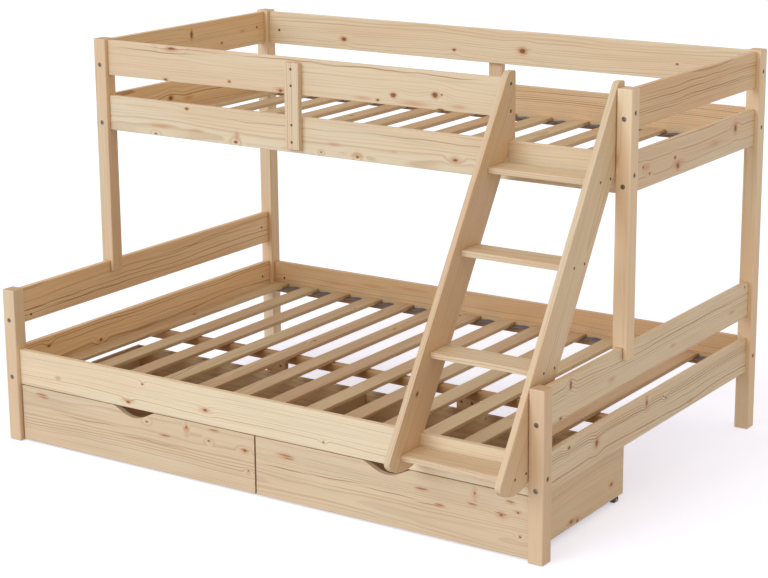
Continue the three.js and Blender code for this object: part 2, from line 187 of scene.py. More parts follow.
class BunkBedSettings(bpy.types.PropertyGroup):
    """Everything that the panel shows."""

    wood: PointerProperty(type=WoodSettings)
    hardware: PointerProperty(type=HardwareSettings)
    stage: PointerProperty(type=StageSettings)


def bed():
    """The scene's settings."""
    return bpy.context.scene.bunk_bed


# Materials


class Wiring:
    """Short words for making nodes in one tree."""

    def __init__(self, tree):
        self.tree = tree

    def fill(self, node, inputs):
        """Fills a node's sockets with values or links."""
        for name, value in inputs.items():
            if isinstance(value, bpy.types.NodeSocket):
                self.tree.links.new(value, node.inputs[name])
            else:
                node.inputs[name].default_value = value

    def add(self, kind, inputs=None, **settings):
        """Adds a node, sets it up and fills its sockets."""
        node = self.tree.nodes.new(kind)
        for name, value in settings.items():
            setattr(node, name, value)
        self.fill(node, inputs or {})
        return node

    def group(self, tree, inputs):
        """The outputs of a node group."""
        return self.add("ShaderNodeGroup", inputs, node_tree=tree).outputs

    def parts(self, vector):
        """The three values of a vector."""
        return self.add("ShaderNodeSeparateXYZ", {0: vector}).outputs

    def joined(self, x, y, z):
        """A vector made of three values."""
        return self.add("ShaderNodeCombineXYZ", {0: x, 1: y, 2: z}).outputs[0]

    def clamped(self, value):
        """A value held between zero and one."""
        return self.add("ShaderNodeClamp", {0: value}).outputs[0]

    def maths(self, operation, *values):
        """The result of a Math node."""
        node = self.add("ShaderNodeMath", dict(enumerate(values)), operation=operation)
        return node.outputs[0]

    def vector(self, operation, *values):
        """The vector result of a Vector Math node."""
        node = self.add("ShaderNodeVectorMath", dict(enumerate(values)), operation=operation)
        return node.outputs[0]

    def length(self, value):
        """The length of a vector."""
        node = self.add("ShaderNodeVectorMath", {0: value}, operation="LENGTH")
        return node.outputs["Value"]

    def fade(self, value, start, end, low=0.0, high=1.0):
        """Goes smoothly from low to high while the value goes from start to end."""
        node = self.add(
            "ShaderNodeMapRange", {0: value, 1: start, 2: end, 3: low, 4: high},
            interpolation_type="SMOOTHSTEP",
        )
        return node.outputs[0]

    def blend(self, factor, first, second, mode="MIX"):
        """A mix of two colours, whose sockets are the node's inputs 6 and 7 and output 2."""
        node = self.add(
            "ShaderNodeMix", {0: factor, 6: first, 7: second},
            data_type="RGBA", blend_type=mode, clamp_factor=True,
        )
        return node.outputs[2]

    def cloud(self, place, stretch, detail=2.0, roughness=0.5):
        """Noise whose pattern is stretched by three scales."""
        scaled = self.vector("MULTIPLY", place, stretch)
        node = self.add(
            "ShaderNodeTexNoise",
            {"Vector": scaled, "Scale": 1.0, "Detail": detail, "Roughness": roughness},
        )
        return node.outputs[0]

    def chance(self, seed):
        """Random values that depend on a number alone."""
        return self.add("ShaderNodeTexWhiteNoise", {"W": seed}, noise_dimensions="1D").outputs

    def bump(self, height, strength, distance):
        """A surface direction bent by a height."""
        inputs = {"Height": height, "Strength": strength, "Distance": distance}
        return self.add("ShaderNodeBump", inputs).outputs[0]

    def attribute(self, name):
        """A named attribute of the piece."""
        return self.add("ShaderNodeAttribute", attribute_type="GEOMETRY", attribute_name=name)

    def place(self):
        """Object coordinates."""
        return self.add("ShaderNodeTexCoord").outputs["Object"]


def rgba(colour):
    """A colour with a full last channel."""
    return (*colour, 1.0)


def mark_group():
    """Node group: how near one mark is, in its own half width, or the nearest before it."""
    name = "nearest_mark"
    if name in bpy.data.node_groups:
        return bpy.data.node_groups[name]
    tree = bpy.data.node_groups.new(name, "ShaderNodeTree")
    face = tree.interface
    for label in ("Centre", "Squeeze"):
        face.new_socket(label, in_out="INPUT", socket_type="NodeSocketVector")
    for label in ("Radius", "Sway", "Nearest"):
        face.new_socket(label, in_out="INPUT", socket_type="NodeSocketFloat")
    face.new_socket("Nearest", in_out="OUTPUT", socket_type="NodeSocketFloat")
    wire = Wiring(tree)
    given = wire.add("NodeGroupInput").outputs
    place = wire.attribute("grain").outputs["Vector"]
    along_only = (6.0, 0.0, 0.0)
    wave = wire.maths("SUBTRACT", wire.cloud(place, along_only, 1.0), 0.5)
    sway = wire.joined(0.0, wire.maths("MULTIPLY", wave, given["Sway"]), 0.0)
    away = wire.vector("SUBTRACT", wire.vector("ADD", place, sway), given["Centre"])
    away = wire.vector("MULTIPLY", away, given["Squeeze"])
    radii = wire.maths("DIVIDE", wire.length(away), given["Radius"])
    nearest = wire.maths("MINIMUM", radii, given["Nearest"])
    wire.add("NodeGroupOutput", {"Nearest": nearest})
    return tree


def pine_group():
    """Node group: colour, roughness and height of pine, from how each point lies in its board."""
    name = "pine_figure"
    if name in bpy.data.node_groups:
        return bpy.data.node_groups[name]
    tree = bpy.data.node_groups.new(name, "ShaderNodeTree")
    face = tree.interface
    for label in ("Pale", "Rosy", "Line", "Knot", "Halo"):
        face.new_socket(label, in_out="INPUT", socket_type="NodeSocketColor")
    labels = (
        "Spacing", "Line strength", "Knot share", "Nearest", "Stain", "Streak", "Roughness",
    )
    for label in labels:
        face.new_socket(label, in_out="INPUT", socket_type="NodeSocketFloat")
    face.new_socket("Colour", in_out="OUTPUT", socket_type="NodeSocketColor")
    for label in ("Roughness", "Height"):
        face.new_socket(label, in_out="OUTPUT", socket_type="NodeSocketFloat")
    wire = Wiring(tree)
    given = wire.add("NodeGroupInput").outputs

    # Where the point lies in its board, and the board's own seed, tone and hue
    grain = wire.attribute("grain").outputs["Vector"]
    board = wire.attribute("board").outputs["Vector"]
    seed, tone, hue = wire.parts(board)
    end_grain = wire.attribute("end_grain").outputs["Fac"]
    # The rounded strips, which are painted lighter as a highlight
    edge_highlight = wire.attribute("painted_edge_highlight").outputs["Fac"]
    chances = wire.parts(wire.chance(seed)["Color"])
    place = wire.vector("ADD", grain, wire.joined(seed, seed, seed))

    # Scattered knots: one cell in a few holds one, as a cylinder through the board
    cell_scale = (2.6, 8.0, 0.0)
    shortening = 0.6
    smallest, largest = 1.6 * MM, 6.2 * MM
    cell_place = wire.vector("MULTIPLY", place, cell_scale)
    cells = wire.add(
        "ShaderNodeTexVoronoi", {"Vector": cell_place, "Scale": 1.0, "Randomness": 1.0},
        voronoi_dimensions="2D", feature="F1",
    ).outputs
    off = wire.vector("SUBTRACT", cell_place, cells["Position"])
    off = wire.vector("MULTIPLY", off, (shortening / cell_scale[0], 1.0 / cell_scale[1], 0.0))
    luck = wire.parts(cells["Color"])
    lucky = wire.maths("LESS_THAN", luck[0], given["Knot share"])
    radius = wire.fade(luck[1], 0.0, 1.0, smallest, largest)
    radii = wire.maths("DIVIDE", wire.length(off), radius)
    unlucky = wire.maths("SUBTRACT", 1.0, lucky)
    radii = wire.maths("ADD", radii, wire.maths("MULTIPLY", unlucky, FAR_FROM_MARKS))
    nearest = wire.maths("MINIMUM", radii, given["Nearest"])
    ragged = wire.cloud(place, (60.0, 110.0, 110.0), 1.0)
    nearest = wire.maths("ADD", nearest, wire.maths("MULTIPLY_ADD", ragged, 0.7, -0.35))

    # Growth rings: distance to a pith beside the board, bent by slow waves and by knots
    pith_across = wire.maths("MULTIPLY_ADD", chances[0], 220 * MM, -50 * MM)
    pith_depth = wire.maths("MULTIPLY_ADD", chances[1], -90 * MM, -35 * MM)
    pith = wire.joined(0.0, pith_across, pith_depth)
    to_pith = wire.vector("MULTIPLY", wire.vector("SUBTRACT", grain, pith), (0.0, 1.0, 1.0))
    wave = wire.cloud(place, (1.5, 5.0, 5.0), 1.0)
    ripple = wire.cloud(place, (7.0, 30.0, 30.0), 1.0)
    reach = wire.maths("MULTIPLY_ADD", wave, 30 * MM, wire.length(to_pith))
    reach = wire.maths("MULTIPLY_ADD", ripple, 3.5 * MM, reach)
    bulge = wire.fade(nearest, 0.2, 7.0, 7 * MM, 0.0)
    reach = wire.maths("ADD", reach, bulge)
    ring = wire.maths("DIVIDE", reach, given["Spacing"])
    step = wire.maths("FLOOR", ring)
    phase = wire.maths("FRACT", ring)
    late = wire.maths(
        "MULTIPLY", wire.fade(phase, 0.35, 0.9), wire.fade(phase, 0.9, 1.0, 1.0, 0.0)
    )
    ring_seed = wire.maths("ADD", step, seed)
    ring_luck = wire.chance(ring_seed)[0]
    ring_weight = wire.maths("MULTIPLY_ADD", wire.maths("POWER", ring_luck, 2.0), 0.95, 0.12)
    contrast = wire.maths("MULTIPLY_ADD", chances[2], 0.9, 0.6)
    ring_weight = wire.maths("MULTIPLY", ring_weight, contrast)

    # Long thin streaks and fibres, and slow zones and patches of tone
    streak = wire.cloud(place, (2.2, 150.0, 150.0), 3.0, 0.6)
    fibre = wire.cloud(place, (22.0, 1300.0, 1300.0), 2.0)
    zone = wire.cloud(place, (1.3, 9.0, 9.0), 2.0)
    patch = wire.cloud(place, (3.5, 26.0, 26.0), 2.0)

    # Clear wood: pale to rosy zones under the ring lines, then brighter or darker
    lines = wire.maths("MULTIPLY", late, ring_weight)
    lines = wire.maths("MULTIPLY", lines, given["Line strength"])
    lines = wire.maths("ADD", lines, wire.fade(streak, 0.50, 0.80, 0.0, 0.26))
    lines = wire.maths("ADD", lines, wire.maths("MULTIPLY", end_grain, 0.22))
    rosy = wire.clamped(wire.maths("ADD", wire.fade(zone, 0.38, 0.62), hue))
    colour = wire.blend(rosy, given["Pale"], given["Rosy"])
    colour = wire.blend(wire.clamped(lines), colour, given["Line"])
    value = wire.maths("ADD", wire.fade(patch, 0.25, 0.75, 0.975, 1.02), tone)
    value = wire.maths("ADD", value, wire.maths("MULTIPLY_ADD", fibre, 0.06, -0.03))
    # Painted highlight: every rounded edge is painted a little lighter
    value = wire.maths("ADD", value, wire.maths("MULTIPLY", edge_highlight, 0.035))
    value = wire.maths("SUBTRACT", value, wire.maths("MULTIPLY", end_grain, 0.10))
    colour = wire.add(
        "ShaderNodeHueSaturation",
        {"Hue": 0.5, "Saturation": 1.0, "Value": value, "Fac": 1.0, "Color": colour},
    ).outputs[0]

    # Stains, streaks and knots, one over the other
    uneven = wire.maths("MULTIPLY_ADD", streak, 1.8, -0.9)
    stained = wire.fade(wire.maths("ADD", given["Stain"], uneven), 0.0, 1.4, 0.62, 0.0)
    colour = wire.blend(stained, colour, given["Halo"])
    streaked = wire.fade(given["Streak"], 0.3, 1.3, 0.75, 0.0)
    colour = wire.blend(streaked, colour, given["Line"], "MULTIPLY")
    halo = wire.fade(nearest, 0.8, 2.2, 0.75, 0.0)
    colour = wire.blend(halo, colour, given["Halo"])
    core = wire.fade(nearest, 0.70, 1.05, 0.95, 0.0)
    year = wire.maths("SINE", wire.maths("MULTIPLY", nearest, 16.0))
    year = wire.maths("MULTIPLY_ADD", year, 0.22, 0.22)
    heart = wire.blend(year, given["Knot"], given["Halo"])
    colour = wire.blend(core, colour, heart)

    # Rougher end grain, and a relief of late wood and fibres
    rough = wire.maths("MULTIPLY_ADD", streak, 0.16, given["Roughness"])
    rough = wire.maths("ADD", rough, wire.maths("MULTIPLY", end_grain, 0.15))
    height = wire.maths("MULTIPLY_ADD", late, 0.5, wire.maths("MULTIPLY", fibre, 0.6))
    height = wire.maths("MULTIPLY_ADD", streak, 0.4, height)
    wire.add("NodeGroupOutput", {"Colour": colour, "Roughness": rough, "Height": height})
    return tree


def new_material(name):
    """An empty node material, its shader and its wiring."""
    material = bpy.data.materials.new(name)
    material.use_nodes = True
    tree = material.node_tree
    tree.nodes.clear()
    wire = Wiring(tree)
    shader = wire.add("ShaderNodeBsdfPrincipled")
    wire.add("ShaderNodeOutputMaterial", {"Surface": shader.outputs[0]})
    return material, shader, wire


def nearest_mark(wire, marks, sway=0.0):
    """How near the nearest of some marks is: along, across, half length, half width in mm."""
    nearest = FAR_FROM_MARKS
    for along, across, half_length, half_width in marks:
        inputs = {
            "Centre": (along * MM, across * MM, 0.0),
            "Squeeze": (half_width / half_length, 1.0, 0.0),
            "Radius": half_width * MM,
            "Sway": sway,
            "Nearest": nearest,
        }
        nearest = wire.group(mark_group(), inputs)["Nearest"]
    return nearest


# Colours, strength of the ring lines, share of cells with a knot, and roughness
WoodLook = namedtuple("WoodLook", "pale rosy lines knots roughness")


def wood_material(name, look, node=""):
    """Pine of one look, with the knots, stains and streaks that stand out on one board."""
    if name in bpy.data.materials:
        return bpy.data.materials[name]
    wood = bed().wood
    material, shader, wire = new_material(name)
    figure = wire.group(pine_group(), {
        "Pale": rgba(look.pale), "Rosy": rgba(look.rosy), "Line": rgba(wood.line),
        "Knot": rgba(wood.knot), "Halo": rgba(wood.halo),
        "Spacing": wood.ring_spacing, "Line strength": look.lines,
        "Knot share": look.knots, "Roughness": look.roughness,
        "Nearest": nearest_mark(wire, KNOTS.get(node, ())),
        "Stain": nearest_mark(wire, STAINS.get(node, ())),
        "Streak": nearest_mark(wire, STREAKS.get(node, ()), sway=18 * MM),
    })
    wire.fill(shader, {
        "Base Color": figure["Colour"],
        "Roughness": figure["Roughness"],
        "Normal": wire.bump(figure["Height"], 0.35, 0.4 * MM),
    })
    return material


def wood_for(slot, node, kind=None):
    """The wood of a record slot or a kind of its own, with the board's own marks if any."""
    wood = bed().wood
    looks = {
        "pine": WoodLook(wood.pale, wood.rosy, 0.62, 0.22, 0.42),
        "post": WoodLook(wood.post_pale, wood.post_rosy, 0.20, 0.06, 0.42),
        "stile": WoodLook(wood.post_pale, wood.post_rosy, 0.34, 0.10, 0.42),
        "plain": WoodLook(wood.pale, wood.rosy, 0.28, 0.10, 0.42),
        "lined": WoodLook(wood.pale, wood.rosy, 0.95, 0.10, 0.42),
        # Same pine as the others, painted brighter and warmer as painted light
        "warm": WoodLook(wood.inner_lit_pale, wood.inner_lit_rosy, 0.75, 0.15, 0.42),
        "amber": WoodLook(wood.amber_pale, wood.amber_rosy, 0.80, 0.15, 0.42),
        "rough_pine": WoodLook(wood.rough_pale, wood.rough_rosy, 0.75, 0.45, 0.62),
        "slat_wood": WoodLook(wood.slat_pale, wood.slat_rosy, 0.62, 0.25, 0.58),
    }
    kind = kind or BOARD_KINDS.get(node)
    look = looks[kind or slot]
    if node in KNOTS or node in STAINS or node in STREAKS:
        own = look._replace(knots=0.0)
        return wood_material(f"{slot}_{node}", own, node)
    return wood_material(f"{kind or slot}_boards", look)


def steel_material(name, colour, roughness):
    """Plated steel with cloudy plating and fine scratches."""
    if name in bpy.data.materials:
        return bpy.data.materials[name]
    material, shader, wire = new_material(name)
    cloudy = wire.cloud(wire.place(), (180.0, 180.0, 180.0), 3.0)
    scratch = wire.cloud(wire.place(), (2600.0, 300.0, 900.0), 2.0)
    shade = wire.fade(cloudy, 0.3, 0.7, 0.75, 1.1)
    tint = wire.joined(shade, shade, shade)
    wire.fill(shader, {
        "Base Color": wire.blend(1.0, rgba(colour), tint, "MULTIPLY"),
        "Metallic": 1.0,
        "Roughness": wire.maths("MULTIPLY_ADD", scratch, 0.2, roughness),
        "Normal": wire.bump(scratch, 0.2, 0.2 * MM),
    })
    return material


def plastic_material(name, colour, roughness):
    """Moulded plastic with a faint grained skin and patches of dust."""
    if name in bpy.data.materials:
        return bpy.data.materials[name]
    material, shader, wire = new_material(name)
    skin = wire.cloud(wire.place(), (2200.0, 2200.0, 2200.0), 1.0)
    dust = wire.cloud(wire.place(), (120.0, 120.0, 120.0), 3.0)
    dusty = wire.fade(dust, 0.45, 0.75, 0.0, 0.35)
    pale_dust = rgba(paint(150, 146, 142))
    wire.fill(shader, {
        "Base Color": wire.blend(dusty, rgba(colour), pale_dust),
        "Roughness": wire.maths("MULTIPLY_ADD", dust, 0.3, roughness),
        "Normal": wire.bump(skin, 0.25, 0.2 * MM),
    })
    return material


def strap_material():
    """A woven strap: crossing threads and a slightly uneven dye."""
    name = "woven_strap"
    if name in bpy.data.materials:
        return bpy.data.materials[name]
    material, shader, wire = new_material(name)
    parts = wire.parts(wire.place())
    thread_pitch = 1.6 * MM
    turns_per_metre = 2.0 * math.pi / thread_pitch
    warp = wire.maths("SINE", wire.maths("MULTIPLY", parts[1], turns_per_metre))
    weft = wire.maths("SINE", wire.maths("MULTIPLY", parts[0], turns_per_metre))
    weave = wire.maths("MULTIPLY_ADD", wire.maths("MULTIPLY", warp, weft), 0.5, 0.5)
    dye = wire.cloud(wire.place(), (40.0, 90.0, 90.0), 3.0)
    shade = wire.maths("MULTIPLY_ADD", dye, 0.4, wire.maths("MULTIPLY_ADD", weave, 0.35, 0.6))
    tint = wire.joined(shade, shade, shade)
    wire.fill(shader, {
        "Base Color": wire.blend(1.0, rgba(bed().hardware.strap), tint, "MULTIPLY"),
        "Roughness": 0.85,
        "Normal": wire.bump(weave, 0.5, 0.4 * MM),
    })
    return material


# Making and finishing pieces


def add_piece(shape, name, body, material, nodes=()):
    """Turns a finished bmesh into an object that rides on a body and stands for its nodes."""
    mesh = bpy.data.meshes.new(name)
    shape.to_mesh(mesh)
    shape.free()
    mesh.materials.append(material)
    piece = bpy.data.objects.new(name, mesh)
    bpy.context.scene.collection.objects.link(piece)
    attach(piece, body)
    if nodes:
        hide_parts(*nodes)
    return piece


def shape_box(shape):
    """Lowest and highest corner of a bmesh."""
    low = Vector(min(v.co[i] for v in shape.verts) for i in range(3))
    high = Vector(max(v.co[i] for v in shape.verts) for i in range(3))
    return low, high


def board_axes(shape):
    """A board's directions along its length, across its width and into its thickness."""
    low, high = shape_box(shape)
    size = high - low
    order = sorted(range(3), key=lambda i: -size[i])
    return [(X, Y, Z)[i] for i in order]


def board_traits(name, tone_spread=0.03, hue_spread=0.3):
    """A board's own seed, tone and hue, the same in each run."""
    chance = random.Random(name)
    seed = chance.uniform(1.0, 90.0)
    tone = chance.uniform(-tone_spread, tone_spread)
    hue = chance.uniform(-hue_spread, hue_spread)
    tone, hue = BOARD_TONES.get(name, (tone, hue))
    return Vector((seed, tone, hue))


def mark_grain(shape, axes, traits):
    """Stores how each point lies in its board, and which faces show end grain."""
    for name in ("grain", "board"):
        shape.verts.layers.float_vector.new(name)
    grain = shape.verts.layers.float_vector["grain"]
    board = shape.verts.layers.float_vector["board"]
    end = shape.faces.layers.float.new("end_grain")
    low = Vector(min(v.co.dot(axis) for v in shape.verts) for axis in axes)
    for vert in shape.verts:
        vert[grain] = Vector(vert.co.dot(axis) for axis in axes) - low
        vert[board] = traits
    steep = math.cos(math.radians(30.0))
    for face in shape.faces:
        face[end] = 1.0 if abs(face.normal.dot(axes[0])) > steep else 0.0


def round_edges(shape, offset, shortest):
    """Rounds a shape's long outer edges and marks the rounded strips for a painted highlight."""
    sharp = math.radians(50.0)
    # The rounded strips get a painted highlight in the wood
    edge_highlight = shape.faces.layers.float.new("painted_edge_highlight")
    edges = [
        edge for edge in shape.edges
        if edge.is_manifold and edge.is_convex
        and edge.calc_face_angle() > sharp and edge.calc_length() > shortest
    ]
    rounded = bmesh.ops.bevel(
        shape, geom=edges, offset=offset, offset_type="OFFSET", affect="EDGES",
        segments=2, profile=0.5, material=-1, clamp_overlap=True,
    )
    for face in rounded["faces"]:
        face.smooth = True
        face[edge_highlight] = 1.0
    bmesh.ops.recalc_face_normals(shape, faces=shape.faces)


def add_box(shape, centre, size):
    """Adds a box round a centre."""
    place = Matrix.Translation(centre) @ Matrix.Diagonal((*size, 1.0))
    bmesh.ops.create_cube(shape, size=1.0, matrix=place)


def add_rod(shape, centre, radius, length):
    """Adds a closed cylinder round a centre, along the bed's length."""
    place = Matrix.Translation(centre) @ Matrix.Rotation(math.pi / 2, 4, "Y")
    bmesh.ops.create_cone(
        shape, cap_ends=True, segments=16, radius1=radius, radius2=radius, depth=length,
        matrix=place,
    )


def merged_copy(node):
    """A copy of a node's mesh, with its loose triangles joined into whole faces."""
    shape = bmesh.new()
    shape.from_mesh(frame["nodes"][node].data)
    bmesh.ops.remove_doubles(shape, verts=shape.verts, dist=0.02 * MM)
    bmesh.ops.dissolve_limit(
        shape, angle_limit=math.radians(0.5), verts=shape.verts, edges=shape.edges,
    )
    return shape


def middle(node):
    """The middle of a node's box."""
    low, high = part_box(node)
    return (low + high) / 2


def end_face(node, side):
    """Where a node ends along the bed's length, on its left or right side."""
    low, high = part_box(node)
    return low.x if side == LEFT else high.x


def bolt_places():
    """Where each bolt's seat opens on a post's face, and the way that the bolt looks."""
    lower_y = middle("lower_front_rail").y
    upper_y = middle("upper_front_rail").y
    back_y = middle("lower_back_rail").y
    places = []
    for side, word in SIDES:
        front_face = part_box(f"post_front_{word}")[0].y
        upper_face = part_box(f"post_upper_{word}")[0].y
        back_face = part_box(f"post_back_{word}")[1].y
        across = middle(f"post_back_{word}").x
        end = end_face(f"post_back_{word}", side)
        for height in FRONT_POST_BOLTS:
            places.append(((across, front_face, height * MM), -Y))
        for height in UPPER_POST_BOLTS:
            places.append(((across, upper_face, height * MM), -Y))
        for height in BACK_POST_BOLTS:
            places.append(((across, back_face, height * MM), Y))
        places.append(((end, lower_y, LOWER_RAIL_BOLT * MM), X * side))
        for height in (UPPER_RAIL_BOLT, GUARD_BOLT):
            places.append(((end, upper_y, height * MM), X * side))
        for height in (LOWER_RAIL_BOLT, UPPER_RAIL_BOLT, GUARD_BOLT):
            places.append(((end, back_y, height * MM), X * side))
    return [(Vector(spot), direction) for spot, direction in places]


def widen_seats(shape):
    """Widens the round seats of the bolts in a post to the radius that the panel shows."""
    growth = bed().hardware.seat_radius / PACKED_SEAT_RADIUS - 1.0
    close = 0.5 * MM
    for spot, direction in bolt_places():
        for vert in shape.verts:
            away = vert.co - spot
            below = -away.dot(direction)
            across = away + direction * below
            on_seat = abs(across.length - PACKED_SEAT_RADIUS) < close
            if on_seat and -MM < below < UNDER_SEAT:
                vert.co += across * growth


def dress_board(node, axes=None, shortest=6 * MM, rounding=None, kind=None):
    """Replaces a node by a board of the same shape with rounded edges and real grain."""
    shape = merged_copy(node)
    if node.startswith("post_"):
        widen_seats(shape)
    axes = axes or board_axes(shape)
    round_edges(shape, rounding or bed().wood.edge_round, shortest)
    mark_grain(shape, axes, board_traits(node))
    slot = SLOTS[node]
    return add_piece(shape, f"{node}_wood", BODIES[node], wood_for(slot, node, kind), [node])


def scatter(single, places):
    """One shape made of a copy of a small shape at each place."""
    template = bpy.data.meshes.new("template")
    single.to_mesh(template)
    single.free()
    crowd = bmesh.new()
    for place in places:
        before = len(crowd.verts)
        crowd.from_mesh(template)
        crowd.verts.ensure_lookup_table()
        bmesh.ops.transform(crowd, matrix=place, verts=crowd.verts[before:])
    bpy.data.meshes.remove(template)
    return crowd


def facing(position, direction):
    """The move of a shape that looks along +Z to a position, turned to a direction."""
    turn = Vector(direction).to_track_quat("Z", "Y").to_matrix().to_4x4()
    return Matrix.Translation(Vector(position)) @ turn


# Marks that stand out on one board: along it, across it, half length and half width in mm.

KNOTS = {
    "guard_front": (
        (284, 112, 16, 4), (255, 4, 8, 5), (528, 21, 6, 4), (739, 9, 8, 5), (1121, 12, 6, 4),
        (1181, 32, 10, 7), (1336, 46, 11, 8), (1357, 2, 12, 3), (1360, 49, 4, 2.5),
    ),
    "upper_front_rail": (
        (343, 105, 7, 4.5), (549, 11, 7, 4.5), (204, 6, 5, 2.5), (1041, 12, 6, 4),
        (899, 13, 4, 2.5), (1410, 40, 8, 3.5),
    ),
    "guard_back": ((345, 39, 10, 7), (830, 35, 7, 4.5), (1114, 52, 12, 9), (1715, 53, 5, 3)),
    "upper_end_top_board_left": ((439, 83, 7, 15), (614, 31, 6, 4)),
    "upper_end_board_left": ((310, 60, 12, 8),),
    "upper_end_board_right": (
        (299, 30, 11, 9), (278, 59, 7, 5), (722, 81, 9, 12), (105, 39, 5, 4), (62, 66, 5, 4),
    ),
    "lower_front_rail": (
        (536, 89, 5, 3), (474, 18, 7, 4), (793, 47, 8, 4.5), (1250, 26, 4, 2.5),
    ),
    "drawer_right_front": (
        (798, 166, 3, 4), (888, 117, 6, 3), (951, 63, 4, 2.5), (944, 136, 4, 2.5),
    ),
    "drawer_left_front": (
        (709, 172, 3, 4), (799, 142, 5, 3), (942, 137, 7, 4), (955, 72, 4, 2.5), (544, 160, 5, 3),
    ),
    "lower_end_top_board_right": ((131, 92, 6, 12), (73, 7, 7, 4), (1342, 109, 5, 3)),
    "lower_end_board_right": (
        (126, 100, 8, 5), (297, 64, 8, 11), (624, 100, 6, 10), (759, 77, 5, 3),
    ),
    "drawer_right_side_right": ((493, 54, 7, 5), (238, 17, 9, 6), (277, 8, 6, 5)),
    "lower_end_board_left": ((123, 87, 7, 5), (385, 43, 7, 5)),
    "upper_slat_5": ((556, 30, 10, 7),),
    "lower_slat_5": ((810, 30, 9, 6),),
    "ladder_stile_left": ((238, 119, 8, 6),),
    "post_back_right": ((1090, 26, 9, 6),),
}

STAINS = {
    "lower_back_rail": ((468, 84, 60, 8), (640, 96, 90, 7), (300, 70, 70, 8)),
    "guard_front": (
        (1062, 14, 45, 7), (1258, 13, 60, 10), (1423, 17, 40, 8), (739, 12, 34, 10),
        (284, 108, 40, 9),
    ),
    "upper_front_rail": (
        (229, 35, 60, 10), (382, 33, 40, 8), (950, 43, 30, 7), (555, 30, 10, 22),
        (1041, 18, 26, 9), (1181, 43, 14, 5), (1410, 40, 30, 14),
    ),
    "guard_back": ((1114, 52, 30, 16), (345, 39, 24, 12)),
    "upper_end_top_board_left": ((738, 61, 22, 8),),
    "upper_end_board_left": ((412, 48, 30, 10),),
    "upper_end_board_right": (
        (722, 84, 22, 26), (563, 55, 60, 12), (300, 36, 50, 16), (80, 62, 26, 14),
    ),
    "lower_front_rail": (
        (169, 47, 16, 8), (1507, 27, 22, 9), (474, 22, 26, 10), (793, 47, 34, 11),
    ),
    "drawer_right_front": (
        (116, 148, 36, 14), (614, 143, 26, 9), (790, 129, 20, 8), (918, 164, 18, 8),
        (798, 160, 12, 26), (888, 117, 24, 12), (677, 104, 18, 8), (944, 138, 16, 7),
    ),
    "drawer_left_front": (
        (88, 168, 30, 12), (619, 126, 24, 9), (821, 180, 24, 8), (709, 164, 12, 28),
        (942, 137, 22, 11),
    ),
    "lower_end_top_board_right": ((387, 41, 30, 9), (1244, 45, 26, 8), (799, 41, 24, 8)),
    "drawer_right_side_right": ((493, 54, 22, 14), (250, 15, 40, 12)),
    "lower_end_board_right": ((939, 18, 26, 8), (624, 96, 14, 22), (297, 66, 24, 22)),
    "post_upper_right": ((613, 4, 26, 8),),
}

STREAKS = {
    "guard_front": (
        (760, 112, 210, 1.9), (1090, 109, 260, 2.6), (1380, 107, 130, 2.0), (230, 98, 200, 2.0),
        (330, 112, 180, 1.4),
    ),
    "upper_end_top_board_right": (
        (420, 92, 380, 1.6), (300, 72, 260, 1.4), (520, 50, 330, 1.8), (180, 34, 170, 1.3),
    ),
    "lower_end_top_board_left": (
        (66, 38, 62, 3.6), (210, 44, 110, 1.8), (330, 30, 240, 2.2), (620, 62, 300, 1.6),
        (980, 84, 330, 1.4),
    ),
    "lower_end_board_left": ((400, 88, 330, 1.6), (900, 66, 380, 1.5)),
    "lower_end_board_right": ((500, 84, 420, 1.3), (1000, 50, 330, 1.3)),
    "upper_front_rail": ((1300, 92, 330, 1.2), (700, 84, 300, 1.1)),
    "drawer_right_front": (
        (120, 106, 90, 1.8), (300, 112, 110, 1.9), (500, 107, 110, 1.8), (645, 101, 60, 1.7),
        (116, 151, 34, 3.0), (128, 143, 22, 2.4), (614, 145, 26, 3.0), (790, 131, 20, 2.6),
        (888, 122, 22, 3.0), (918, 166, 18, 2.6), (677, 106, 18, 2.4),
    ),
    "drawer_left_front": (
        (88, 171, 30, 3.0), (100, 162, 20, 2.4), (619, 128, 24, 2.8), (821, 182, 24, 2.6),
        (709, 168, 10, 3.5), (942, 141, 20, 2.6), (300, 118, 150, 1.8), (560, 96, 160, 1.7),
    ),
    "lower_end_top_board_right": ((1000, 84, 300, 1.4), (700, 96, 280, 1.4)),
}

# Boards with fainter or stronger ring lines or browner wood than the others

BOARD_KINDS = {
    "guard_front": "plain",
    "upper_end_top_board_right": "amber",
    "lower_end_top_board_right": "lined",
    "lower_end_board_right": "lined",
    "lower_back_rail": "amber",
    # These boards inside the bed take the pine painted brighter and warmer, as painted light
    "upper_back_rail": "warm",
    "lower_end_board_left": "warm",
    "lower_end_top_board_left": "warm",
    "upper_end_board_left": "warm",
    "upper_end_top_board_left": "warm",
    # The drawers' bottoms and backs are browner as painted shade inside the drawers
    "drawer_left_bottom": "rough_pine",
    "drawer_right_bottom": "rough_pine",
    "drawer_left_back": "amber",
    "drawer_right_back": "amber",
}

# How bright and how pinkish some boards are, above or below the mean board

